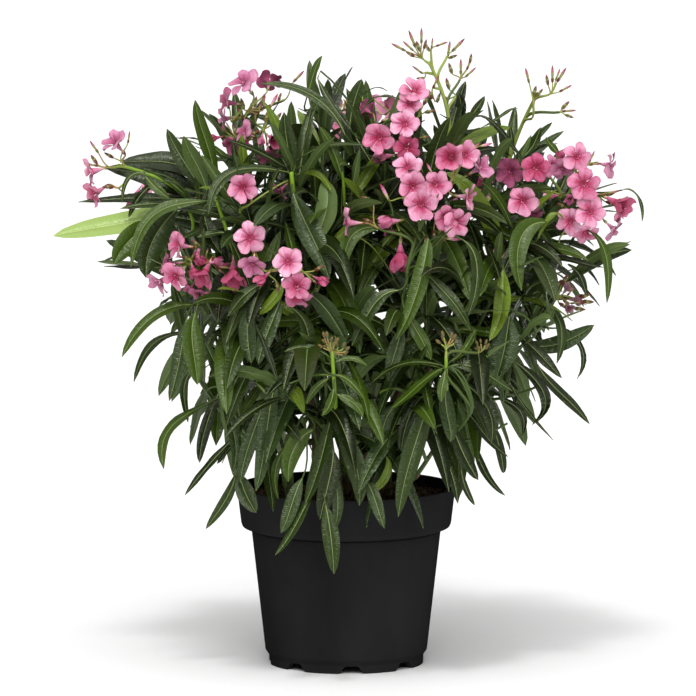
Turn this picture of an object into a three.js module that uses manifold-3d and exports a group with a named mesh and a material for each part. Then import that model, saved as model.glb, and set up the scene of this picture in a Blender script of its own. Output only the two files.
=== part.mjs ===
// A potted oleander, Nerium oleander: a many-stemmed evergreen shrub in full bloom, in a black nursery pot.
//
// Units are millimetres and +Z is up. The origin is the middle of the pot's footprint, on the floor.
// Azimuths run anticlockwise from +X, seen from above, and the plant's front faces -Y (azimuth 270).
//
// Woody stems stand in the soil, and each runs out to a leading mass of foliage. Most of them carry a bough with
// a mass of its own. A mass is one leafy twig that forks by a seeded rule, with the whorls of three leaves that
// are the habit of the species. Flower heads grow on from the tips of some twigs. Solids that only touch in life,
// such as a bough and its stem, are kept FIT apart.

import * as THREE from "three";
import { mergeVertices } from "three/addons/utils/BufferGeometryUtils.js";
import Module from "manifold-3d";

const wasm = await Module();
wasm.setup();
const { Manifold, Mesh } = wasm;

// ---- Driving sizes -------------------------------------------------------------------------------------------

const FIT = 0.3; // gap between solids that touch
const CLEARANCE = 0.6; // least gap between neighbouring masses
const OWN_CLEARANCE = 0.35; // least gap between the leaves of one mass

const POT = {
  height: 196,
  rimRadius: 120, // outside, at the top
  lipRound: 1.6,
  bandFootRadius: 115.5, // outside, at the band's lower edge
  bandHeight: 41,
  shoulderHeight: 9, // of the curve from the band in to the body
  neckRadius: 104, // body, just under the shoulder
  heelRadius: 89, // body, just above the foot ring
  heelHeight: 15,
  footRadius: 85,
  footInner: 77,
  footHeight: 9,
  wall: 2.2,
  floor: 3,
  feet: 8,
  footGap: 14, // degrees between two feet
  drains: 4,
  drainRadius: 6,
  drainRing: 60,
  sides: 28,
};

const SOIL_LEVEL = POT.height - 10;

const STEM = { footRadius: 5, tipRadius: 3.2, flare: 0.5, flareShare: 0.1, sides: 6, steps: 6 };
const BOUGH = { footRadius: 3.8, tipRadius: 3.1, sides: 5, steps: 4 };
const TWIG = { footRadius: 3, tipRadius: 2.6, sides: 3, steps: 2, length: 158, straighten: 0.55 };
const SIDE_TWIG = { scale: 0.8, from: 0.14, apart: 0.18, tilt: 38, rise: 0.45 };

const WHORL = {
  leaves: 3,
  first: 5, // from the twig's tip to its first whorl
  pitch: 23,
  every: 2, // one whorl in this many is carried
  turn: 60, // degrees from a whorl to the next
  face: 60, // degrees from a twig's first edge to the middle of its first side
  footClear: 16, // bare wood at a twig's foot
};

const LEAF = {
  length: 170,
  slender: 0.225, // width over length
  keel: 0.014, // thickness over length
  petiole: 0.8, // half width at the foot
  youngest: 0.5, // length in the first whorl, in full leaves
  growth: 0.17, // gained from whorl to whorl, up to the full length
  tilt: 26, // degrees from the twig, in the first whorl
  tiltGain: 9, // degrees from whorl to whorl
  tiltMost: 76,
  droop: 0.1,
  droopGain: 0.2, // from whorl to whorl
  stations: [0.3, 0.7], // shares of the length with a full section
  widths: [0.94, 0.78], // widths there, in full widths
  youngOrders: 3, // whorls whose leaves have a single full section
  youngStations: [0.4],
  youngWidths: [1],
  shrink: 0.03, // lost with each try to find room
  tries: 10,
};

const FLOWER = { radius: 17, valley: 0.44, petalHalf: 24, petals: 5, tube: 17, throat: 4 };
const BUD = { length: 17, radius: 2.8, widest: 0.45 };
const STALK = { footRadius: 2.4, tipRadius: 2, pedicelRadius: 0.9, sides: 3, steps: 2, branchFrom: 0.6 };
const DOME = { radius: 26, budRadius: 36, spread: 108, turn: 137.5, tries: 10 }; // about a stalk's tip

// Heights and radii of the crown's outline. Leaves keep inside it.
const CROWN = [
  [100, 135],
  [150, 166],
  [200, 205],
  [250, 250],
  [300, 268],
  [400, 295],
  [470, 326],
  [530, 326],
  [580, 282],
  [630, 232],
  [672, 170],
  [720, 90],
];

// A shoot is placed by its tip: azimuth, reach from the pot's axis and height. Its lean is measured from upright,
// where its twig begins. Scale is the twig's length in full twigs, forks counts side twigs, and droop is how far
// its leaves hang. A stem's foot is its distance from the pot's axis.
const STEMS = [
  { name: "left", azimuth: 193, reach: 166, height: 500, lean: 44, scale: 1, forks: 2, droop: 0.5, foot: 34 },
  { name: "front_left", azimuth: 238, reach: 104, height: 556, lean: 16, scale: 1, forks: 1, droop: 0.8, foot: 32 },
  { name: "low_front", azimuth: 262, reach: 165, height: 352, lean: 38, scale: 0.8, forks: 2, droop: 1.5, foot: 52 },
  { name: "front_right", azimuth: 296, reach: 150, height: 446, lean: 28, scale: 1, forks: 1, droop: 1.1, foot: 27 },
  { name: "low_right", azimuth: 316, reach: 184, height: 338, lean: 42, scale: 0.9, forks: 2, droop: 1.7, foot: 50 },
  { name: "right", azimuth: 353, reach: 226, height: 505, lean: 46, scale: 1, forks: 1, droop: 1, foot: 44 },
  { name: "back_right", azimuth: 16, reach: 186, height: 548, lean: 28, scale: 1, forks: 1, droop: 0.8, foot: 24 },
  { name: "back", azimuth: 78, reach: 150, height: 556, lean: 22, scale: 1, forks: 1, droop: 0.8, foot: 34 },
  { name: "back_left", azimuth: 146, reach: 140, height: 558, lean: 24, scale: 1, forks: 1, droop: 0.8, foot: 28 },
  { name: "centre", azimuth: 124, reach: 52, height: 592, lean: 10, scale: 1, forks: 1, droop: 0.6, foot: 5 },
];

// A bough leaves its stem at the share "from" of the stem's run.
const BOUGHS = [
  { name: "top_right", stem: "centre", from: 0.55, azimuth: 348, reach: 114, height: 578, lean: 16, scale: 1, forks: 1,
    droop: 0.7 },
  { name: "top_front", stem: "centre", from: 0.75, azimuth: 310, reach: 40, height: 566, lean: 14, scale: 0.9,
    forks: 1, droop: 0.7 },
  { name: "front", stem: "front_left", from: 0.5, azimuth: 252, reach: 146, height: 432, lean: 34, scale: 1, forks: 1,
    droop: 1.2 },
  { name: "left_front", stem: "left", from: 0.55, azimuth: 214, reach: 192, height: 432, lean: 48, scale: 1,
    forks: 1, droop: 1.1 },
  { name: "low_left", stem: "left", from: 0.3, azimuth: 207, reach: 188, height: 338, lean: 54, scale: 0.9,
    forks: 2, droop: 1.6 },
  { name: "right_front", stem: "front_right", from: 0.5, azimuth: 328, reach: 194, height: 434, lean: 42, scale: 1,
    forks: 1, droop: 1.1 },
  { name: "low_side", stem: "right", from: 0.35, azimuth: 350, reach: 204, height: 370, lean: 54, scale: 0.9,
    forks: 2, droop: 1.3 },
  { name: "back_low", stem: "back", from: 0.5, azimuth: 92, reach: 205, height: 430, lean: 46, scale: 1, forks: 1,
    droop: 1.1 },
  { name: "back_left_low", stem: "back_left", from: 0.5, azimuth: 160, reach: 208, height: 420, lean: 48, scale: 1,
    forks: 1, droop: 1.1 },
  { name: "back_right_low", stem: "back_right", from: 0.5, azimuth: 38, reach: 208, height: 426, lean: 46, scale: 1,
    forks: 1, droop: 1.1 },
  { name: "low_back", stem: "back", from: 0.25, azimuth: 112, reach: 170, height: 346, lean: 46, scale: 0.8,
    forks: 2, droop: 1.4 },
];

// A head grows on from the tip of a mass's leading twig. It is placed by its middle, as a shoot is by its tip.
const HEADS = [
  { name: "blossom_left", mass: "left", azimuth: 186, reach: 250, height: 552, flowers: 5, buds: 3 },
  { name: "blossom_upper_left", mass: "back_left", azimuth: 184, reach: 110, height: 604, flowers: 6, buds: 3 },
  { name: "blossom_front_left", mass: "left_front", azimuth: 211, reach: 208, height: 468, flowers: 5, buds: 2 },
  { name: "blossom_front", mass: "front", azimuth: 247, reach: 176, height: 470, flowers: 5, buds: 2 },
  { name: "blossom_centre", mass: "front_right", azimuth: 310, reach: 150, height: 526, flowers: 6, buds: 2 },
  { name: "blossom_top", mass: "top_front", azimuth: 312, reach: 84, height: 612, flowers: 5, buds: 2 },
  { name: "blossom_right", mass: "right", azimuth: 349, reach: 256, height: 522, flowers: 9, buds: 2 },
  { name: "blossom_back_left", mass: "back_left_low", azimuth: 152, reach: 222, height: 478, flowers: 4, buds: 2 },
  { name: "blossom_back", mass: "back", azimuth: 84, reach: 186, height: 604, flowers: 4, buds: 2 },
  { name: "blossom_back_right", mass: "back_right_low", azimuth: 42, reach: 232, height: 480, flowers: 4, buds: 2 },
  { name: "buds_top", mass: "top_right", azimuth: 348, reach: 92, height: 664, flowers: 0, buds: 8 },
  { name: "buds_right", mass: "back_right", azimuth: 8, reach: 212, height: 626, flowers: 0, buds: 7 },
];

// Leaves that reach past the outline. Each leaves its mass's leading twig at the share "at".
const REACHING_LEAVES = [
  { mass: "left", at: 0.62, azimuth: 183, rise: 14, length: 189, droop: 0.16 },
  { mass: "right", at: 0.8, azimuth: 2, rise: 34, length: 122, droop: 0.4 },
  { mass: "front", at: 0.6, azimuth: 268, rise: 16, length: 178, droop: 0.5 },
  { mass: "back_low", at: 0.5, azimuth: 86, rise: 30, length: 130, droop: 0.6 },
];

const COLOURS = {
  pot: 0x1c1d1c,
  soil: 0x2a1f15,
  stem: 0x4a4a2a,
  bough: 0x5a6330,
  foliage: [0x2f4a1c, 0x3a5724, 0x456230],
  blossom: 0xe08fb2,
  buds: 0xc76f86,
};

// ---- Basics --------------------------------------------------------------------------------------------------

const UP = new THREE.Vector3(0, 0, 1);
const toRad = THREE.MathUtils.degToRad;

function heading(azimuth, lean) {
  const out = Math.sin(toRad(lean));
  return new THREE.Vector3(out * Math.cos(toRad(azimuth)), out * Math.sin(toRad(azimuth)), Math.cos(toRad(lean)));
}

function spot(azimuth, reach, height) {
  return new THREE.Vector3(reach * Math.cos(toRad(azimuth)), reach * Math.sin(toRad(azimuth)), height);
}

function along(point, direction, distance) {
  return point.clone().addScaledVector(direction, distance);
}

// Evenly spread numbers from 0 to 1, the same ones for the same seed.
function seeded(seed) {
  let state = seed >>> 0;
  return () => {
    state = (state + 0x6d2b79f5) >>> 0;
    let mixed = Math.imul(state ^ (state >>> 15), state | 1);
    mixed = (mixed + Math.imul(mixed ^ (mixed >>> 7), mixed | 61)) ^ mixed;
    return ((mixed ^ (mixed >>> 14)) >>> 0) / 4294967296;
  };
}

function spread(random, width) {
  return (2 * random() - 1) * width;
}

// A unit vector square to the direction, turned about it by an angle in degrees.
function squareTo(direction, angle) {
  const reference = Math.abs(direction.z) < 0.95 ? UP : new THREE.Vector3(1, 0, 0);
  const side = new THREE.Vector3().crossVectors(direction, reference).normalize();
  return side.applyAxisAngle(direction, toRad(angle));
}

function tilted(direction, angle, tilt) {
  const out = squareTo(direction, angle);
  return direction.clone().multiplyScalar(Math.cos(toRad(tilt))).addScaledVector(out, Math.sin(toRad(tilt)));
}

function toSolid(geometry) {
  const bare = new THREE.BufferGeometry();
  bare.setAttribute("position", geometry.getAttribute("position").clone());
  bare.setIndex(geometry.getIndex() ? Array.from(geometry.getIndex().array) : null);
  const merged = mergeVertices(bare, 1e-4);
  const index = merged.getIndex().array;
  const faces = [];
  for (let i = 0; i < index.length; i += 3) {
    const [a, b, c] = [index[i], index[i + 1], index[i + 2]];
    if (a !== b && b !== c && c !== a) {
      faces.push(a, b, c);
    }
  }
  const mesh = new Mesh({
    numProp: 3,
    vertProperties: new Float32Array(merged.getAttribute("position").array),
    triVerts: new Uint32Array(faces),
  });
  return new Manifold(mesh);
}

function toMesh(name, solid, colour, roughness) {
  const mesh = solid.getMesh();
  const geometry = new THREE.BufferGeometry();
  geometry.setAttribute("position", new THREE.BufferAttribute(new Float32Array(mesh.vertProperties), 3));
  geometry.setIndex(new THREE.BufferAttribute(new Uint32Array(mesh.triVerts), 1));
  geometry.computeVertexNormals();
  const result = new THREE.Mesh(geometry, new THREE.MeshStandardMaterial({ color: colour, roughness }));
  result.name = name;
  return result;
}

// Only the main body of a cut or fused solid is kept.
function mainBody(solid) {
  return solid.decompose().reduce((best, body) => (body.volume() > best.volume() ? body : best));
}

// A closed skin over sections that all have the same number of points. A section of one point is a tip.
function loft(sections) {
  const position = [];
  const starts = [];
  for (const section of sections) {
    starts.push(position.length / 3);
    section.forEach((point) => position.push(point.x, point.y, point.z));
  }
  const faces = [];
  for (let i = 1; i < sections.length; i += 1) {
    bridge(faces, starts[i - 1], sections[i - 1].length, starts[i], sections[i].length);
  }
  closeEnd(faces, starts[0], sections[0].length, true);
  closeEnd(faces, starts[sections.length - 1], sections[sections.length - 1].length, false);
  const geometry = new THREE.BufferGeometry();
  geometry.setAttribute("position", new THREE.Float32BufferAttribute(position, 3));
  geometry.setIndex(faces);
  return geometry;
}

// Sections with different numbers of points are joined where the larger number is a multiple of the smaller one.
function bridge(faces, lower, lowerCount, upper, upperCount) {
  const count = Math.max(lowerCount, upperCount);
  const fromLower = (i) => lower + Math.floor((i * lowerCount) / count) % lowerCount;
  const fromUpper = (i) => upper + Math.floor((i * upperCount) / count) % upperCount;
  for (let i = 0; i < count; i += 1) {
    const [low, lowNext, high, highNext] = [fromLower(i), fromLower(i + 1), fromUpper(i), fromUpper(i + 1)];
    if (low !== lowNext) {
      faces.push(low, lowNext, highNext);
    }
    if (high !== highNext) {
      faces.push(low, highNext, high);
    }
  }
}

function closeEnd(faces, start, count, facingBack) {
  for (let i = 1; i < count - 1; i += 1) {
    faces.push(start, start + (facingBack ? i + 1 : i), start + (facingBack ? i : i + 1));
  }
}

// A tapering round limb along a curve. Radius is a function of the share of the run.
function limb(curve, radiusAt, sides, steps) {
  const frames = curve.computeFrenetFrames(steps, false);
  const sections = [];
  for (let i = 0; i <= steps; i += 1) {
    const centre = curve.getPointAt(i / steps);
    const radius = radiusAt(i / steps);
    sections.push(ring(centre, frames.normals[i], frames.binormals[i], radius, sides));
  }
  return toSolid(loft(sections));
}

function ring(centre, across, over, radius, sides) {
  return Array.from({ length: sides }, (_, i) => {
    const angle = (2 * Math.PI * i) / sides;
    return along(along(centre, across, radius * Math.cos(angle)), over, radius * Math.sin(angle));
  });
}

function arc(from, fromDirection, to, toDirection) {
  const pull = 0.36 * from.distanceTo(to);
  return new THREE.CubicBezierCurve3(from, along(from, fromDirection, pull), along(to, toDirection, -pull), to);
}

const mix = THREE.MathUtils.lerp;

// ---- Keeping solids apart ------------------------------------------------------------------------------------

const placed = []; // every solid so far, with the mass that owns it

function settle(solid, owner) {
  placed.push({ solid, owner, box: solid.boundingBox() });
  return solid;
}

function boxesMeet(a, b, gap) {
  return [0, 1, 2].every((axis) => a.min[axis] - gap < b.max[axis] && b.min[axis] - gap < a.max[axis]);
}

// Whether a solid clears all others. Against its own mass only its outer part counts.
function isClear(whole, outer, owner) {
  const box = whole.boundingBox();
  return placed.every((other) => {
    const own = other.owner === owner;
    const gap = own ? OWN_CLEARANCE : CLEARANCE;
    if (!boxesMeet(box, other.box, gap)) {
      return true;
    }
    return (own ? outer : whole).minGap(other.solid, 2 * gap) >= gap;
  });
}

// ---- Pot and soil --------------------------------------------------------------------------------------------

function turned(profile, sides) {
  const geometry = new THREE.LatheGeometry(profile.map(([radius, height]) => new THREE.Vector2(radius, height)), sides);
  geometry.rotateX(Math.PI / 2);
  return toSolid(geometry);
}

function potInside() {
  const shoulder = POT.height - POT.bandHeight;
  return [
    [POT.heelRadius - POT.wall, POT.footHeight + POT.floor],
    [POT.neckRadius - POT.wall, shoulder - POT.shoulderHeight],
    [POT.bandFootRadius - POT.wall, shoulder],
    [POT.rimRadius - POT.wall, POT.height - POT.lipRound],
  ];
}

function potProfile() {
  const shoulder = POT.height - POT.bandHeight;
  return [
    [0, POT.footHeight],
    [POT.footInner, POT.footHeight],
    [POT.footInner, 0],
    [POT.footRadius, 0],
    [POT.footRadius, POT.footHeight],
    [POT.heelRadius, POT.heelHeight],
    [POT.neckRadius, shoulder - POT.shoulderHeight],
    [mix(POT.neckRadius, POT.bandFootRadius, 0.55), shoulder - 0.7 * POT.shoulderHeight],
    [mix(POT.neckRadius, POT.bandFootRadius, 0.9), shoulder - 0.35 * POT.shoulderHeight],
    [POT.bandFootRadius, shoulder],
    [POT.rimRadius, POT.height - POT.lipRound],
    [POT.rimRadius - 0.3 * POT.wall, POT.height],
    [POT.rimRadius - 0.7 * POT.wall, POT.height],
    ...potInside().reverse(),
    [0, POT.footHeight + POT.floor],
  ];
}

function footGaps() {
  const reach = POT.footRadius + 10;
  const width = 2 * POT.footRadius * Math.sin(toRad(POT.footGap / 2));
  return Array.from({ length: POT.feet }, (_, i) => {
    const turn = 274 + (360 / POT.feet) * i;
    const block = new THREE.BoxGeometry(reach, width, POT.footHeight - 0.5);
    block.translate(reach / 2, 0, (POT.footHeight - 0.5) / 2 - 0.5);
    block.rotateZ(toRad(turn));
    return toSolid(block);
  });
}

function drains() {
  return Array.from({ length: POT.drains }, (_, i) => {
    const hole = new THREE.CylinderGeometry(POT.drainRadius, POT.drainRadius, 4 * POT.floor, 8);
    hole.rotateX(Math.PI / 2);
    const centre = spot(274 + (360 / POT.drains) * i, POT.drainRing, POT.footHeight);
    hole.translate(centre.x, centre.y, centre.z);
    return toSolid(hole);
  });
}

function potSolid() {
  return turned(potProfile(), POT.sides).subtract(Manifold.union([...footGaps(), ...drains()]));
}

function soilSolid() {
  const wall = potInside();
  const top = SOIL_LEVEL;
  const [lower, upper] = [wall[2], wall[3]];
  const topRadius = mix(lower[0], upper[0], (top - lower[1]) / (upper[1] - lower[1]));
  const profile = [
    [0, wall[0][1] + FIT],
    [wall[0][0] - 1.5 * FIT, wall[0][1] + FIT],
    ...wall.slice(1, 3).map(([radius, height]) => [radius - 1.5 * FIT, height + FIT]),
    [topRadius - 1.5 * FIT, top],
    [0, top],
  ];
  return turned(profile, POT.sides);
}

// ---- Woody limbs ---------------------------------------------------------------------------------------------

function shootNamed(name) {
  return [...STEMS, ...BOUGHS].find((shoot) => shoot.name === name);
}

function twigCurve(shoot) {
  const length = TWIG.length * shoot.scale;
  const tip = spot(shoot.azimuth, shoot.reach, shoot.height);
  const start = heading(shoot.azimuth, shoot.lean);
  const end = heading(shoot.azimuth, shoot.lean * TWIG.straighten);
  const bend = along(tip, end, -length / 2);
  return new THREE.QuadraticBezierCurve3(along(bend, start, -length / 2), bend, tip);
}

function limbTip(shoot) {
  return along(twigCurve(shoot).v0, heading(shoot.azimuth, shoot.lean), -FIT);
}

function stemCurve(stem) {
  const foot = spot(stem.azimuth, stem.foot, SOIL_LEVEL + FIT);
  return arc(foot, UP, limbTip(stem), heading(stem.azimuth, stem.lean));
}

function stemRadius(share) {
  const flare = STEM.flare * Math.max(0, 1 - share / STEM.flareShare);
  return mix(STEM.footRadius, STEM.tipRadius, share) * (1 + flare);
}

function stemSolid(stem) {
  return limb(stemCurve(stem), stemRadius, STEM.sides, STEM.steps);
}

function boughSolid(bough) {
  const curve = stemCurve(shootNamed(bough.stem));
  const foot = curve.getPointAt(bough.from);
  const tip = limbTip(bough);
  const start = curve.getTangentAt(bough.from).add(tip.clone().sub(foot).normalize()).normalize();
  const path = arc(foot, start, tip, heading(bough.azimuth, bough.lean));
  const whole = limb(path, (share) => mix(BOUGH.footRadius, BOUGH.tipRadius, share), BOUGH.sides, BOUGH.steps);
  const fit = (1.05 * FIT) / Math.cos(Math.PI / STEM.sides);
  const socket = limb(curve, (share) => stemRadius(share) + fit, STEM.sides, STEM.steps);
  return mainBody(whole.subtract(socket));
}

// ---- Twigs and leaves ----------------------------------------------------------------------------------------

function twigSolid(curve, scale) {
  const radiusAt = (share) => scale * mix(TWIG.footRadius, TWIG.tipRadius, share);
  return limb(curve, radiusAt, TWIG.sides, TWIG.steps);
}

function sideTwigCurve(leader, shoot, order, random) {
  const foot = leader.getPointAt(SIDE_TWIG.from + SIDE_TWIG.apart * order);
  const tangent = leader.getTangentAt(SIDE_TWIG.from + SIDE_TWIG.apart * order);
  const start = tilted(tangent, 180 * order + 360 * random(), SIDE_TWIG.tilt + spread(random, 8));
  const end = start.clone().addScaledVector(UP, SIDE_TWIG.rise).normalize();
  const half = (SIDE_TWIG.scale * TWIG.length * shoot.scale) / 2;
  const bend = along(foot, start, half);
  return new THREE.QuadraticBezierCurve3(foot, bend, along(bend, end, half));
}

// The leading twig always grows. A side twig that finds no room in a few tries is left out.
function growTwigs(shoot, seed) {
  const leader = twigCurve(shoot);
  const twigs = [{ curve: leader, scale: 1 }];
  settle(twigSolid(leader, 1), shoot.name);
  for (let order = 0; order < shoot.forks; order += 1) {
    for (let attempt = 0; attempt < LEAF.tries; attempt += 1) {
      const random = seeded(seed * 100 + order * 10 + attempt);
      const curve = sideTwigCurve(leader, shoot, order, random);
      const solid = twigSolid(curve, 0.85);
      const outer = twigSolid(new THREE.LineCurve3(curve.getPointAt(0.3), curve.v2), 0.85);
      if (insideCrown([curve.v2]) && isClear(solid, outer, shoot.name)) {
        settle(solid, shoot.name);
        twigs.push({ curve, scale: SIDE_TWIG.scale });
        break;
      }
    }
  }
  return twigs;
}

function crownRadius(height) {
  const upper = CROWN.findIndex((row) => row[0] > height);
  if (upper <= 0) {
    return 0;
  }
  const [[lowHeight, lowRadius], [highHeight, highRadius]] = [CROWN[upper - 1], CROWN[upper]];
  return mix(lowRadius, highRadius, (height - lowHeight) / (highHeight - lowHeight));
}

function insideCrown(points) {
  return points.every((point) => Math.hypot(point.x, point.y) < crownRadius(point.z));
}

// The midrib leaves the twig at a tilt and bends further towards the ground along its run.
function midrib(foot, direction, length, droop) {
  const steps = 10;
  const points = [foot];
  const directions = [direction];
  for (let i = 0; i < steps; i += 1) {
    const share = (i + 0.5) / steps;
    const next = direction.clone().addScaledVector(UP, -2 * droop * share).normalize();
    points.push(along(points[i], next, length / steps));
    directions.push(next);
  }
  return (share) => ({ point: points[Math.round(share * steps)], direction: directions[Math.round(share * steps)] });
}

// A leaf's section is a shallow triangle, with its keel along the underside.
function leafSection(at, side, halfWidth, keel) {
  const below = new THREE.Vector3().crossVectors(at.direction, side).normalize();
  return [along(at.point, side, halfWidth), along(at.point, below, keel), along(at.point, side, -halfWidth)];
}

function leafSections(rib, side, length, young) {
  const halfWidth = (LEAF.slender * length) / 2;
  const keel = LEAF.keel * length;
  const stations = young ? LEAF.youngStations : LEAF.stations;
  const widths = young ? LEAF.youngWidths : LEAF.widths;
  const sections = stations.map((share, i) => leafSection(rib(share), side, widths[i] * halfWidth, keel));
  return [leafSection(rib(0), side, LEAF.petiole, 1.5 * LEAF.petiole), ...sections, [rib(1).point]];
}

// A leaf grows from a twig unless it would leave the crown or come too near something else.
function growLeaf(owner, foot, axis, direction, shape) {
  const side = new THREE.Vector3().crossVectors(direction, axis).normalize();
  side.applyAxisAngle(direction, toRad(shape.roll));
  const rib = midrib(foot, direction, shape.length, shape.droop);
  if (!shape.reaching && !insideCrown([rib(1).point, rib(0.7).point])) {
    return false;
  }
  const sections = leafSections(rib, side, shape.length, shape.young);
  const whole = toSolid(loft(sections));
  const outer = toSolid(loft([leafSection(rib(0.1), side, 2, 1), ...sections.slice(1)]));
  if (!isClear(whole, outer, owner)) {
    return false;
  }
  settle(whole, owner);
  return true;
}

// Each try to find room turns, hangs and shortens the leaf a little more.
function tryLeaf(owner, node, growth, random, attempt) {
  const angle = toRad(growth.angle + spread(random, 10 + 6 * attempt));
  const tilt = toRad(Math.min(LEAF.tiltMost, growth.tilt) + spread(random, 6 + 2 * attempt));
  const shape = {
    length: growth.length * (1 + spread(random, 0.08) - LEAF.shrink * attempt),
    droop: growth.droop * (1 + spread(random, 0.25)) + 0.06 * attempt,
    roll: spread(random, 14),
    young: growth.young,
  };
  const out = node.across.clone().multiplyScalar(Math.cos(angle)).addScaledVector(node.over, Math.sin(angle));
  const direction = node.axis.clone().multiplyScalar(Math.cos(tilt)).addScaledVector(out, Math.sin(tilt));
  return growLeaf(owner, along(node.point, out, LEAF.petiole / 2), node.axis, direction, shape);
}

// The place of a whorl on its twig, with the twig's axis and the two directions square to it.
function twigNode(curve, share) {
  const steps = 24;
  const frames = curve.computeFrenetFrames(steps, false);
  const step = Math.round(share * steps);
  return {
    point: curve.getPointAt(share),
    axis: frames.tangents[step],
    across: frames.normals[step],
    over: frames.binormals[step],
  };
}

function growWhorl(shoot, twig, order, twigSeed) {
  const node = twigNode(twig.curve, 1 - (WHORL.first + WHORL.pitch * order) / twig.curve.getLength());
  const grown = Math.min(1, LEAF.youngest + LEAF.growth * order);
  for (let leaf = 0; leaf < WHORL.leaves; leaf += 1) {
    const growth = {
      angle: WHORL.face + (360 / WHORL.leaves) * leaf + WHORL.turn * order,
      tilt: LEAF.tilt + LEAF.tiltGain * order,
      length: LEAF.length * grown * mix(1, twig.scale, 0.3),
      droop: shoot.droop * (LEAF.droop + LEAF.droopGain * order),
      young: order < LEAF.youngOrders,
    };
    for (let attempt = 0; attempt < LEAF.tries; attempt += 1) {
      if (tryLeaf(shoot.name, node, growth, seeded(twigSeed * 1000 + order * 60 + leaf * 20 + attempt), attempt)) {
        break;
      }
    }
  }
}

function growReachingLeaf(leaf) {
  const twig = twigCurve(shootNamed(leaf.mass));
  const node = twigNode(twig, leaf.at);
  const direction = heading(leaf.azimuth, 90 - leaf.rise);
  growLeaf(leaf.mass, node.point, node.axis, direction, { ...leaf, roll: 0, reaching: true });
}

function growLeaves(shoot, twigs, seed) {
  twigs.forEach((twig, number) => {
    const room = twig.curve.getLength() - WHORL.footClear - WHORL.first;
    for (let order = 0; order * WHORL.pitch < room; order += WHORL.every) {
      growWhorl(shoot, twig, order, seed * 10 + number);
    }
  });
}

// ---- Flower heads --------------------------------------------------------------------------------------------

// A flower is a tube that widens all the way to the petals, with a sunken throat. It follows on from its pedicel.
function flowerSections(neck, direction, across, over) {
  const face = along(neck, direction, FLOWER.tube);
  const outline = [];
  for (let petal = 0; petal < FLOWER.petals; petal += 1) {
    const middle = (360 / FLOWER.petals) * (petal + 0.5);
    const corners = [
      [middle - FLOWER.petalHalf, FLOWER.radius],
      [middle + FLOWER.petalHalf, FLOWER.radius],
      [middle + 180 / FLOWER.petals, FLOWER.radius * FLOWER.valley],
    ];
    for (const [angle, radius] of corners) {
      const start = along(face, across, radius * Math.cos(toRad(angle)));
      outline.push(along(start, over, radius * Math.sin(toRad(angle))));
    }
  }
  return [outline, [along(face, direction, -FLOWER.throat)]];
}

function budSections(neck, direction, across, over) {
  const middle = along(neck, direction, BUD.length * BUD.widest);
  return [ring(middle, across, over, BUD.radius, STALK.sides), [along(neck, direction, BUD.length)]];
}

// Flowers and buds fan out over a dome about the stalk's tip. Each try to find room moves one further round.
function growBloom(head, curve, order, seed) {
  const count = head.flowers + head.buds;
  const isBud = order >= head.flowers;
  const axis = curve.getTangentAt(1);
  const foot = curve.getPointAt(mix(1, STALK.branchFrom, order / count));
  for (let attempt = 0; attempt < DOME.tries; attempt += 1) {
    const random = seeded(seed * 1000 + order * 20 + attempt);
    const tilt = DOME.spread * Math.sqrt((order + 0.5) / count) + spread(random, 6 + 3 * attempt);
    const outward = tilted(axis, DOME.turn * order + spread(random, 10 + 12 * attempt), tilt);
    const neck = along(curve.v2, outward, (isBud ? DOME.budRadius : DOME.radius) * (1 + spread(random, 0.12)));
    const direction = neck.clone().sub(foot).normalize();
    const across = squareTo(direction, 0);
    const over = new THREE.Vector3().crossVectors(direction, across);
    const start = ring(foot, across, over, STALK.pedicelRadius, STALK.sides);
    const end = ring(neck, across, over, STALK.pedicelRadius, STALK.sides);
    const sections = (isBud ? budSections : flowerSections)(neck, direction, across, over);
    const whole = toSolid(loft([start, end, ...sections]));
    if (isClear(whole, toSolid(loft([end, ...sections])), head.name)) {
      settle(whole, head.name);
      return;
    }
  }
}

function growHead(head, seed) {
  const twig = twigCurve(shootNamed(head.mass));
  const start = twig.getTangentAt(1);
  const foot = along(twig.v2, start, FIT);
  const tip = spot(head.azimuth, head.reach, head.height);
  const curve = new THREE.QuadraticBezierCurve3(foot, along(foot, start, 0.4 * foot.distanceTo(tip)), tip);
  settle(limb(curve, (share) => mix(STALK.footRadius, STALK.tipRadius, share), STALK.sides, STALK.steps), head.name);
  for (let order = 0; order < head.flowers + head.buds; order += 1) {
    growBloom(head, curve, order, seed);
  }
}

// ---- The plant -----------------------------------------------------------------------------------------------

function fused(owner) {
  const own = placed.filter((entry) => entry.owner === owner).map((entry) => entry.solid);
  return mainBody(Manifold.union(own));
}

function buildPlant() {
  const group = new THREE.Group();
  group.name = "potted_oleander";
  const pot = settle(potSolid(), "pot");
  group.add(toMesh("pot", pot, COLOURS.pot, 0.55));
  group.add(toMesh("soil", settle(soilSolid(), "soil"), COLOURS.soil, 0.95));
  STEMS.forEach((stem) => {
    group.add(toMesh(`stem_${stem.name}`, settle(stemSolid(stem), `stem_${stem.name}`), COLOURS.stem, 0.8));
  });
  BOUGHS.forEach((bough) => {
    group.add(toMesh(`bough_${bough.name}`, settle(boughSolid(bough), `bough_${bough.name}`), COLOURS.bough, 0.7));
  });
  const shoots = [...STEMS, ...BOUGHS];
  const twigs = shoots.map((shoot, i) => growTwigs(shoot, i + 1));
  HEADS.forEach((head, i) => growHead(head, i + 1));
  REACHING_LEAVES.forEach(growReachingLeaf);
  shoots.forEach((shoot, i) => growLeaves(shoot, twigs[i], i + 1));
  shoots.forEach((shoot, i) => {
    const colour = COLOURS.foliage[i % COLOURS.foliage.length];
    group.add(toMesh(`foliage_${shoot.name}`, fused(shoot.name), colour, 0.5));
  });
  HEADS.forEach((head) => {
    group.add(toMesh(head.name, fused(head.name), head.flowers ? COLOURS.blossom : COLOURS.buds, 0.6));
  });
  return group;
}

export default buildPlant();
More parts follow.
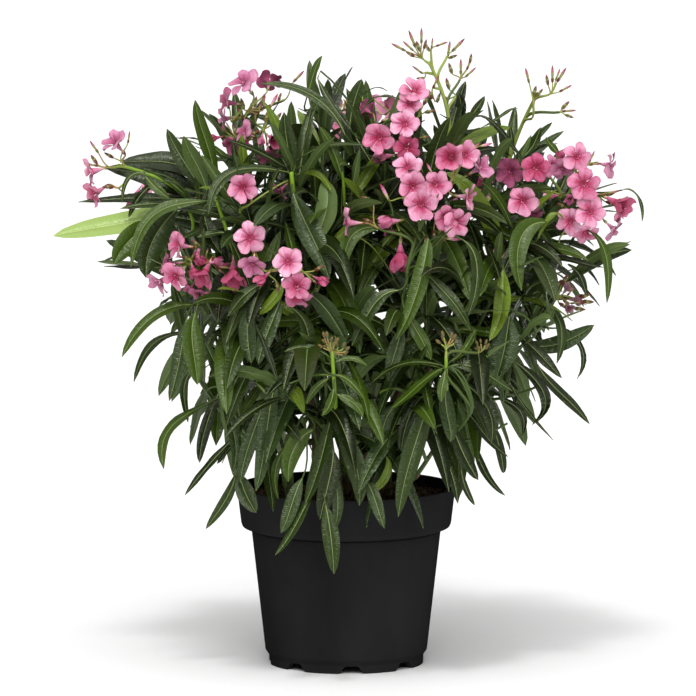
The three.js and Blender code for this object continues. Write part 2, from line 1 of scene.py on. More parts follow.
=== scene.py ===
"""A potted oleander in bloom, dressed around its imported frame.

Lengths are in millimetres until a mesh is made, and in metres from there on. +Z is up, the origin is the
middle of the pot's footprint, azimuths run anticlockwise from +X in degrees, and the plant's front faces -Y.
"""

import math

import bpy
import numpy as np
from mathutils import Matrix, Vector


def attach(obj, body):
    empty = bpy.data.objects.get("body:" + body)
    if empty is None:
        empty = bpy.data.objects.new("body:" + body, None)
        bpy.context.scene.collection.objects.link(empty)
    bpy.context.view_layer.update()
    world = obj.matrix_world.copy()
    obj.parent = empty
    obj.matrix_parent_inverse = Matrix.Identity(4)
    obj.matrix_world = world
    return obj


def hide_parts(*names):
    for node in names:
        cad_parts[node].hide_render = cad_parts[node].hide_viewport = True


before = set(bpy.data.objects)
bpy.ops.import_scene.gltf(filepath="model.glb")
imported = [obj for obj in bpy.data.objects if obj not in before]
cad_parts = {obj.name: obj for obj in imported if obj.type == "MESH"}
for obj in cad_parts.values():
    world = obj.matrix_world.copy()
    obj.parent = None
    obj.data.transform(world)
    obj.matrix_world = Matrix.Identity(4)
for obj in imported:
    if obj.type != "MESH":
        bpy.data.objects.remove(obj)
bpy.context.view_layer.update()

MM = 0.001
UP = np.array([0.0, 0.0, 1.0])

# ---- Sizes ---------------------------------------------------------------------------------------

POT = {
    "height": 196, "rim_radius": 120, "band_foot": 115.5, "band_height": 41, "shoulder": 6, "neck": 104,
    "heel": 89, "heel_height": 15, "foot": 85, "foot_inner": 78, "foot_height": 9, "wall": 2.2, "sides": 144,
    "feet": 8, "foot_gap": 20, "first_gap": 274, "floor_ring": 66,
    "well": 54, "well_inner": 2, "well_rise": 1.2,
}
SOIL_LEVEL = POT["height"] - 10
CHIPS = 1500
SHARP_ANGLE = 40

STEM = {"foot": 5.0, "tip": 3.2, "flare": 0.5, "flare_share": 0.1}
BOUGH = {"foot": 3.8, "tip": 3.1}
TWIG = {"foot": 2.6, "tip": 1.7, "length": 158, "straighten": 0.55, "rise": 0.45, "tries": 10, "room": 22}
SIDE_TWIG = {"scale": 0.8, "from": 0.14, "apart": 0.18, "tilt": 38, "seed": 0}
FINE_TWIG = {"scale": 0.62, "from": 0.3, "apart": 0.26, "tilt": 44, "seed": 50}
WHORL = {"leaves": 3, "first": 5, "pitch": 23, "turn": 60, "face": 60, "foot_clear": 16}
LEAF = {
    "length": 156, "slender": 0.162, "petiole": 0.8, "youngest": 0.5, "growth": 0.17,
    "tilt": 26, "tilt_gain": 9, "tilt_most": 76,
    "droop": 0.1, "droop_gain": 0.2, "shrink": 0.03, "tries": 6, "later_try": 1.5,
    "most_room": 24, "ample_room": 12, "least_room": 2.2, "short": 90, "long": 120,
}
DOME = {
    "flower_reach": 48, "bud_reach": 36, "spread": 108, "turn": 137.5, "top": 590, "branch": 16, "lift": 0.8,
}
PETAL = {"length": 17.0, "base": 1.5, "half": 7.7, "widest": 0.66, "mouth": 2.2, "count": 5}
FLOWER_TUBE = 17

# The crown's greatest radius at each height.
CROWN = [
    (100, 135), (150, 166), (200, 205), (250, 250), (300, 268), (400, 295),
    (470, 326), (530, 326), (580, 282), (630, 232), (672, 170), (720, 90),
]

# Sides where the crown is open below: azimuth, half the span, the height it ends at, and the share of
# the reach.
OPEN_SIDES = [(192, 46, 445, 0.68), (345, 42, 385, 0.82)]


def shoot(name, azimuth, reach, height, lean, scale, forks, droop, **more):
    return dict(name=name, azimuth=azimuth, reach=reach, height=height, lean=lean, scale=scale, forks=forks,
                droop=droop, **more)


STEMS = [
    shoot("left", 193, 166, 500, 44, 1, 2, 0.5, foot=34),
    shoot("front_left", 238, 104, 556, 16, 1, 1, 0.8, foot=32),
    shoot("low_front", 262, 165, 352, 38, 0.8, 2, 1.5, foot=52),
    shoot("front_right", 296, 150, 446, 28, 1, 1, 1.1, foot=27),
    shoot("low_right", 316, 184, 338, 42, 0.9, 2, 1.7, foot=50),
    shoot("right", 353, 226, 505, 46, 1, 1, 1, foot=44),
    shoot("back_right", 16, 186, 548, 28, 1, 1, 0.8, foot=24),
    shoot("back", 78, 150, 556, 22, 1, 1, 0.8, foot=34),
    shoot("back_left", 146, 140, 558, 24, 1, 1, 0.8, foot=28),
    shoot("centre", 124, 52, 592, 10, 1, 1, 0.6, foot=5),
]

BOUGHS = [
    shoot("top_right", 348, 114, 578, 16, 1, 1, 0.7, stem="centre", leaves_at=0.55),
    shoot("top_front", 310, 40, 566, 14, 0.9, 1, 0.7, stem="centre", leaves_at=0.75),
    shoot("front", 252, 146, 432, 34, 1, 1, 1.2, stem="front_left", leaves_at=0.5),
    shoot("left_front", 214, 192, 432, 48, 1, 1, 1.1, stem="left", leaves_at=0.55),
    shoot("low_left", 207, 188, 338, 54, 0.9, 2, 1.6, stem="left", leaves_at=0.3),
    shoot("right_front", 328, 194, 434, 42, 1, 1, 1.1, stem="front_right", leaves_at=0.5),
    shoot("low_side", 350, 204, 370, 54, 0.9, 2, 1.3, stem="right", leaves_at=0.35),
    shoot("back_low", 92, 205, 430, 46, 1, 1, 1.1, stem="back", leaves_at=0.5),
    shoot("back_left_low", 160, 208, 420, 48, 1, 1, 1.1, stem="back_left", leaves_at=0.5),
    shoot("back_right_low", 38, 208, 426, 46, 1, 1, 1.1, stem="back_right", leaves_at=0.5),
    shoot("low_back", 112, 170, 346, 46, 0.8, 2, 1.4, stem="back", leaves_at=0.25),
]
SHOOTS = STEMS + BOUGHS
SHOOT_NAMED = {entry["name"]: entry for entry in SHOOTS}

# The share of leaves kept where the crown is open, or where leaves with places of their own already fill it.
KEPT = {
    "left": 0.7, "left_front": 0.7, "low_left": 0.7, "back_left_low": 0.8,
    "front": 0.75, "front_left": 0.85, "low_front": 0.45, "front_right": 0.85,
    "right_front": 0.8, "low_right": 0.65, "low_side": 0.7, "right": 0.9,
}


def head(name, mass, azimuth, reach, height, flowers, buds):
    return dict(name=name, mass=mass, azimuth=azimuth, reach=reach, height=height, flowers=flowers, buds=buds)


HEADS = [
    head("blossom_left", "left", 186, 250, 552, 5, 3),
    head("blossom_upper_left", "back_left", 184, 110, 604, 6, 3),
    head("blossom_front_left", "left_front", 211, 208, 468, 5, 2),
    head("blossom_front", "front", 247, 176, 470, 5, 2),
    head("blossom_centre", "front_right", 310, 150, 526, 6, 2),
    head("blossom_top", "top_front", 312, 84, 612, 5, 2),
    head("blossom_right", "right", 349, 256, 522, 9, 2),
    head("blossom_back_left", "back_left_low", 152, 222, 478, 8, 5),
    head("blossom_back", "back", 84, 186, 604, 8, 5),
    head("blossom_back_right", "back_right_low", 42, 232, 480, 8, 5),
    head("buds_top", "top_right", 348, 92, 664, 0, 8),
    head("buds_right", "back_right", 8, 212, 626, 0, 7),
]

# Leaves that reach out over a gap.
REACHING_LEAVES = [
    dict(mass="front", at=0.6, azimuth=268, rise=16, length=178, droop=0.5),
    dict(mass="back_low", at=0.5, azimuth=86, rise=30, length=130, droop=0.6),
]

# Young green stems that stand in front of the foliage: foot, bend, tip and radius.
YOUNG_STEMS = [
    ((-10, -165, 286), (-12, -212, 327), (-15, -215, 370), 2.2),
    ((-54, -96, 517), (-58, -112, 533), (-59, -108, 552), 2.6),
    ((-117, -90, 451), (-130, -112, 492), (-143, -100, 530), 2.0),
    ((-2, -90, 514), (-2, -104, 533), (-4, -102, 552), 1.7),
    ((108, -160, 320), (107, -192, 344), (107, -194, 361), 2.0),
    ((-169, -70, 479), (-162, -90, 492), (-169, -90, 507), 2.0),
]

# Each head's sprays: a node, then its blooms as kind, place, azimuth, rise and size. Places are from the
# head's tip.
# The kinds dusk and shade are flowers coloured with painted shade.
SPRAYS = {
    "blossom_left": [
        ((5, -4, 3), [
            ("dusk", -2, -8, 24, 218, 44, 0.98), ("bud", 11, 6, 25, 20, 80, 0.75),
            ("tip", -6, -4, 9, 188, 30, 1.3),
        ]),
        ((-6, -6, -2), [
            ("bud", -22, -4, 15, 186, 55, 0.95), ("tip", -23, -8, 3, 188, 55, 1.4),
            ("bud", -23, -8, 0, 186, 12, 0.85), ("open", -27, -10, -6, 194, -14, 0.98),
        ]),
        ((2, -4, -24), [
            ("open", -23, -8, -29, 212, -26, 0.95), ("tip", -6, -4, -24, 190, 5, 1.4),
            ("tip", 6, 0, -33, 200, -60, 1.0),
        ]),
    ],
    "blossom_upper_left": [
        ((2, -2, 5), [
            ("dusk", -1, -22, 37, 228, 42, 1.05), ("shade", 26, 30, 34, 80, 30, 0.85),
            ("bud", 20, -4, 9, 90, 84, 0.95), ("bud", -3, -8, -1, 172, 62, 0.85),
            ("tip", 6, 0, 5, 90, 80, 1.2), ("tip", 10, -2, 11, 60, 70, 1.4),
            ("tip", -2, -6, 9, 140, 70, 1.5), ("bud", 14, -4, 4, 60, 62, 0.8),
            ("tip", 18, 0, 13, 40, 70, 1.5),
        ]),
        ((-14, -4, -6), [
            ("shade", -19, -16, 16, 198, 8, 0.92), ("dusk", -22, -2, -3, 190, -10, 0.78),
            ("tip", -18, -12, 10, 190, 60, 1.2),
        ]),
        ((-6, -12, -23), [
            ("dusk", 0, -26, -16, 214, 24, 0.8), ("shade", -13, -10, -29, 230, -30, 0.75),
            ("half", -32, 2, -24, 186, -8, 0.6), ("tip", -21, -8, -17, 190, 40, 1.2),
            ("tip", -10, -12, -19, 150, 64, 1.5), ("tip", 5, -14, -23, 60, 50, 1.5),
            ("bud", -16, -12, -15, 150, 56, 0.7), ("half", 1, -18, -27, 290, -60, 0.5),
        ]),
        ((18, -4, -13), [
            ("cup", 29, -26, -22, 300, -14, 0.78), ("shade", 25, -16, -40, 280, -50, 0.78),
            ("bud", 24, -4, -3, 20, 72, 0.75), ("pink_bud", 27, -2, 10, 10, 60, 0.85),
            ("tip", 22, -6, -6, 60, 70, 1.6), ("tip", 32, -6, -5, 20, 50, 1.5),
            ("bud", 11, -6, -5, 100, 76, 0.75), ("tip", 14, -12, -16, 200, -20, 1.4),
            ("half", 18, -18, -22, 250, -60, 0.5),
        ]),
        ((42, 16, 16), [
            ("bud", 53, 14, 37, 5, 46, 1.0), ("tip", 36, 16, 16, 20, 70, 1.1),
        ]),
    ],
    "blossom_front": [
        ((23, -3, -20), [
            ("open", 7, -28, -6, 268, 8, 1.03), ("rose", 16, -28, -31, 272, -4, 0.92),
            ("open", 17, -18, -43, 270, -42, 0.9), ("half", 39, -6, -27, 338, -24, 0.62),
            ("tip", 36, -8, -17, 345, 30, 1.3), ("tip", 32, -10, -27, 320, -30, 1.0),
        ]),
        ((-15, 2, -20), [
            ("half", -19, -10, -24, 208, -36, 0.72), ("dusk", -31, -12, -9, 262, -36, 0.92),
            ("open", -34, 4, 16, 268, 12, 1.02), ("tip", -6, -2, -31, 290, -50, 1.4),
            ("tip", 0, -4, -17, 300, 20, 1.0),
        ]),
    ],
    "blossom_front_left": [
        ((16, -5, 0), [
            ("open", -1, -23, 7, 206, 8, 1.0), ("tip", 20, -9, 5, 180, 40, 1.4),
            ("tip", 10, -11, -8, 200, 10, 1.4),
        ]),
        ((5, -5, -15), [
            ("rose", -4, -33, -24, 238, -20, 1.0), ("dusk", -21, -11, -33, 206, -38, 0.9),
            ("shade", -14, -9, -12, 196, 12, 0.62), ("pink_bud", 4, -15, -12, 184, -4, 0.6),
            ("half", -11, -19, -19, 200, -24, 0.62), ("half", 13, -23, -18, 300, -64, 0.6),
            ("tip", 1, -17, -21, 220, -50, 1.4),
        ]),
        ((31, -9, -14), [
            ("cup", 27, -27, -20, 232, -50, 1.0), ("shade", 21, -15, -43, 250, -60, 0.78),
            ("shade", 11, -11, -41, 226, -55, 0.52), ("half", 27, -17, -11, 198, 18, 0.72),
            ("half", 21, -11, -7, 214, 50, 0.55), ("tip", 16, -11, -21, 200, -10, 1.3),
            ("half", 36, -21, -11, 20, 6, 0.55), ("bud", 27, -15, -5, 60, 56, 0.6),
            ("tip", 39, -15, -18, 330, -30, 1.4), ("half", 46, -17, -15, 350, -8, 0.45),
        ]),
        ((55, -19, -13), [
            ("cup", 57, -37, -18, 266, -60, 1.12), ("bud", 52, -23, -17, 183, 6, 0.85),
            ("tip", 60, -21, -7, 100, 70, 1.1), ("tip", 67, -23, -11, 20, 30, 1.1),
        ]),
    ],
    "blossom_centre": [
        ((-11, -3, 0), [
            ("open", -16, -43, -3, 272, -8, 1.12), ("mid", -1, -23, 16, 285, 5, 0.97),
            ("open", -25, -31, 15, 268, 0, 1.06),
        ]),
        ((-2, -3, -18), [
            ("rose", 10, -27, -18, 284, -10, 0.88), ("mid", 21, -25, -24, 300, -14, 0.98),
            ("pink_bud", 11, -7, -44, 0, -6, 0.8), ("tip", 5, -5, -41, 300, -40, 1.2),
            ("tip", -2, -5, -37, 280, -50, 1.2),
        ]),
        ((-34, 3, -3), [
            ("open", -30, -9, 33, 262, 26, 0.95), ("pink_bud", -51, -3, -2, 188, 62, 0.95),
            ("pink_bud", -4, -1, 26, 180, 62, 0.62),
        ]),
        ((11, 7, 7), [
            ("open", 33, -1, 0, 338, -6, 0.9), ("cup", 17, -15, 45, 258, 4, 1.2),
            ("mid", 31, 1, 45, 284, 10, 0.95), ("dusk", 47, 13, 30, 328, 30, 0.95),
            ("pink_bud", 48, 11, 54, 350, 14, 0.7), ("bud", 39, 15, 50, 20, 35, 0.8),
        ]),
        ((-41, -3, -29), [
            ("half", -38, -11, -59, 264, -80, 1.15), ("half", -47, -11, -25, 184, -5, 0.85),
            ("pink_bud", -11, -7, -44, 270, -84, 0.9), ("tip", -30, -5, -44, 350, 0, 1.4),
            ("shade", -49, -3, -38, 250, -50, 0.45),
        ]),
        ((-62, -9, -33), [
            ("open", -93, -17, -26, 190, 2, 0.95), ("tip", -69, -9, -26, 184, 20, 1.3),
            ("tip", -71, -9, -2, 184, 20, 1.3),
        ]),
    ],
    "blossom_top": [
        ((9, -2, -13), [
            ("open", 17, -20, 25, 276, 38, 0.98), ("mid", 12, -26, 12, 275, 12, 0.82),
            ("open", 7, -38, -9, 268, 22, 1.02), ("tip", 28, 0, 10, 20, 60, 1.4),
            ("tip", 30, 0, 1, 10, 10, 1.4),
        ]),
        ((-3, -6, -30), [
            ("open", -20, -46, -22, 262, 0, 1.05), ("deep", 9, -42, -33, 276, -6, 0.9),
            ("half", -13, -30, -44, 192, -8, 0.8), ("tip", 24, -12, -26, 350, 10, 1.4),
        ]),
        ((-25, 72, -16), [
            ("shade", -34, 94, -6, 120, 10, 0.8),
        ]),
    ],
    "blossom_right": [
        ((-30, 4, 20), [
            ("deep", -46, -37, 33, 268, 0, 0.98), ("shade", -72, -3, 26, 250, -5, 1.0),
            ("dusk", -29, -17, 32, 290, 12, 0.72), ("dusk", -17, -17, 32, 276, -38, 0.88),
        ]),
        ((-2, 1, 20), [
            ("mid", -2, -25, 43, 285, 16, 0.95), ("open", 5, -53, 17, 275, -3, 1.08),
            ("dusk", 34, -1, 32, 344, -8, 0.88), ("bud", 13, -5, 37, 20, 62, 0.8),
            ("bud", 14, -5, 33, 10, 8, 0.8), ("half", -16, -11, 41, 200, 60, 0.5),
        ]),
        ((20, -1, -1), [
            ("cup", 41, -15, -7, 326, -22, 1.08), ("rose", 46, -9, -18, 330, -44, 0.75),
            ("dusk", 39, -3, -37, 335, -38, 0.78), ("bud", 31, -7, 2, 5, 10, 0.95),
            ("tip", 32, -1, -8, 350, -6, 1.6), ("tip", 29, -1, -1, 350, 16, 1.6),
        ]),
        ((1, -3, -12), [
            ("open", 12, -49, -14, 275, 5, 1.04), ("open", -8, -39, -25, 240, -5, 0.95),
            ("mid", 8, -39, -36, 275, -42, 0.92), ("half", -18, -9, -60, 300, -58, 0.5),
            ("shade", -8, -21, -4, 230, 20, 0.45), ("tip", -13, -15, -13, 200, 30, 1.4),
        ]),
        ((-41, -1, 5), [
            ("mid", -60, -43, -2, 266, -5, 1.05), ("shade", -48, -23, -18, 285, -40, 0.65),
            ("half", -25, -11, 0, 200, 0, 0.4),
        ]),
    ],
    "buds_top": [
        ((-5, 0, 2), [
            ("bud", -27, -1, 13, 184, 28, 1.0), ("bud", -18, -7, 14, 186, 42, 0.9),
            ("bud", -15, 3, 17, 184, 68, 1.2), ("bud", -8, 7, 21, 90, 86, 1.0),
            ("tip", -10, -5, 13, 180, 70, 1.4), ("tip", -17, -5, 7, 190, 30, 1.2),
            ("tip", -5, 7, 15, 10, 75, 1.2),
        ]),
        ((2, -3, 13), [
            ("bud", 3, -5, 16, 10, 84, 0.7), ("bud", 9, -3, 18, 355, 20, 0.8),
            ("tip", 0, -1, 13, 180, 60, 1.2),
        ]),
        ((20, 5, 6), [
            ("bud", 21, 7, 7, 5, 82, 1.0), ("bud", 26, 3, 12, 355, 46, 1.2), ("tip", 23, 7, 4, 0, 20, 1.1),
        ]),
        ((-2, 5, -12), [
            ("bud", -8, 5, -12, 186, 36, 0.8), ("tip", -6, 3, -18, 190, 0, 1.0),
        ]),
        ((6, -3, -28), [
            ("bud", 5, -5, -27, 0, 66, 0.9), ("tip", 3, -7, -39, 180, 70, 1.3),
            ("tip", 9, -1, -43, 0, 70, 1.3),
        ]),
        ((34, 9, -20), [
            ("bud", 35, 9, -13, 90, 84, 1.0), ("bud", 42, 11, -8, 0, 70, 0.8),
            ("bud", 41, 7, -16, 0, 42, 0.9), ("tip", 25, 7, -12, 150, 70, 1.4),
            ("tip", 45, 11, -1, 0, 80, 1.2),
        ]),
        ((29, 5, -39), [
            ("bud", 19, 5, -40, 184, 46, 0.7), ("tip", 22, 5, -29, 170, 74, 1.5),
            ("tip", 25, 7, -47, 200, -40, 1.1),
        ]),
    ],
    "buds_right": [
        ((-7, -5, -28), [
            ("bud", -10, -8, 13, 188, 76, 1.0), ("tip", -5, -6, -3, 0, 75, 1.5),
            ("tip", -1, -4, -3, 0, 50, 1.3),
        ]),
        ((12, 0, -2), [
            ("bud", 16, 0, 13, 90, 84, 1.1), ("bud", 20, -2, 15, 10, 70, 0.8),
            ("bud", 22, 2, 13, 0, 58, 1.1), ("bud", 25, 0, 2, 0, 28, 0.9), ("tip", 11, 0, 10, 180, 80, 1.3),
        ]),
        ((24, -2, -21), [
            ("bud", 28, -2, -20, 0, 4, 0.9), ("tip", 27, 0, -17, 0, 46, 1.4),
            ("tip", 31, -4, -24, 0, -20, 1.1),
        ]),
    ],
}

# Small sprays on the shoots themselves: the shoot, a node and its blooms, with places from the origin.
LOOSE_SPRAYS = [
    ("front_left", (-104, -108, 517), [
        ("mid", -111, -128, 538, 262, -6, 1.05), ("shade", -71, -96, 532, 200, -40, 0.7),
    ]),
    ("right_front", (158, -70, 450), [
        ("bud", 158, -72, 455, 10, 72, 0.85), ("bud", 162, -74, 455, 10, 60, 0.95),
        ("bud", 167, -70, 453, 350, 48, 0.9), ("bud", 171, -72, 450, 350, 32, 0.9),
        ("bud", 173, -70, 445, 350, -2, 0.6), ("tip", 153, -74, 451, 180, 40, 1.3),
        ("tip", 150, -72, 440, 180, -20, 1.3), ("tip", 163, -72, 442, 350, 10, 1.3),
    ]),
    ("low_side", (229, -42, 408), [
        ("faded", 239, -46, 417, 330, 50, 0.5), ("faded", 248, -40, 406, 350, 0, 0.55),
        ("faded", 241, -50, 400, 300, -35, 0.5), ("tip", 255, -38, 408, 10, 20, 1.6),
        ("tip", 257, -36, 403, 0, 0, 1.7), ("tip", 235, -44, 423, 10, 60, 1.6),
        ("tip", 249, -44, 397, 340, -5, 1.6), ("bud", 242, -48, 413, 350, 50, 0.7),
        ("bud", 246, -48, 403, 350, 10, 0.8), ("tip", 229, -44, 419, 20, 60, 1.4),
        ("tip", 233, -44, 402, 340, -30, 1.4),
    ]),
    ("low_front", (-15, -214, 370), [
        ("brown", -11, -219, 381, 11, 55, 0.94), ("brown", -15, -226, 379, 14, 32, 1.03),
        ("brown", -15, -206, 375, 20, 25, 0.89), ("brown", -21, -213, 375, 149, 22, 0.76),
        ("brown", -25, -216, 375, 164, 29, 1.0), ("brown", -22, -211, 379, 168, 45, 0.94),
        ("brown", -22, -209, 379, 168, 55, 0.89), ("brown", -23, -212, 385, 160, 75, 1.07),
        ("brown", -20, -217, 386, 135, 79, 1.07), ("brown", -16, -223, 383, 18, 74, 0.79),
        ("brown", -12, -213, 381, 11, 59, 0.82), ("brown", 0, -217, 372, 11, 50, 0.93),
        ("brown", -3, -210, 367, 37, 21, 1.07), ("brown", -10, -211, 370, 167, 38, 0.77),
        ("brown", -9, -206, 375, 163, 72, 0.93), ("brown", -3, -207, 374, 25, 77, 0.93),
    ]),
    ("low_right", (107, -196, 369), [
        ("brown", 112, -191, 379, 11, 54, 1.1), ("brown", 116, -200, 378, 12, 39, 0.76),
        ("brown", 112, -191, 374, 25, 23, 0.72), ("brown", 108, -194, 377, 151, 22, 0.83),
        ("brown", 101, -198, 377, 167, 38, 1.1), ("brown", 105, -196, 379, 168, 47, 0.71),
        ("brown", 104, -196, 381, 167, 63, 0.76), ("brown", 104, -202, 385, 160, 75, 1.08),
        ("brown", 112, -199, 384, 20, 76, 0.91), ("brown", 115, -197, 382, 13, 65, 0.95),
    ]),
    ("low_right", (141, -180, 365), [
        ("brown", 149, -183, 371, 11, 42, 0.99), ("brown", 148, -172, 368, 15, 30, 0.91),
        ("brown", 144, -184, 370, 141, 21, 0.93), ("brown", 141, -179, 368, 164, 30, 0.72),
        ("brown", 141, -178, 373, 166, 65, 0.84), ("brown", 144, -192, 377, 116, 80, 0.72),
        ("brown", 149, -187, 375, 15, 71, 0.88),
    ]),
]

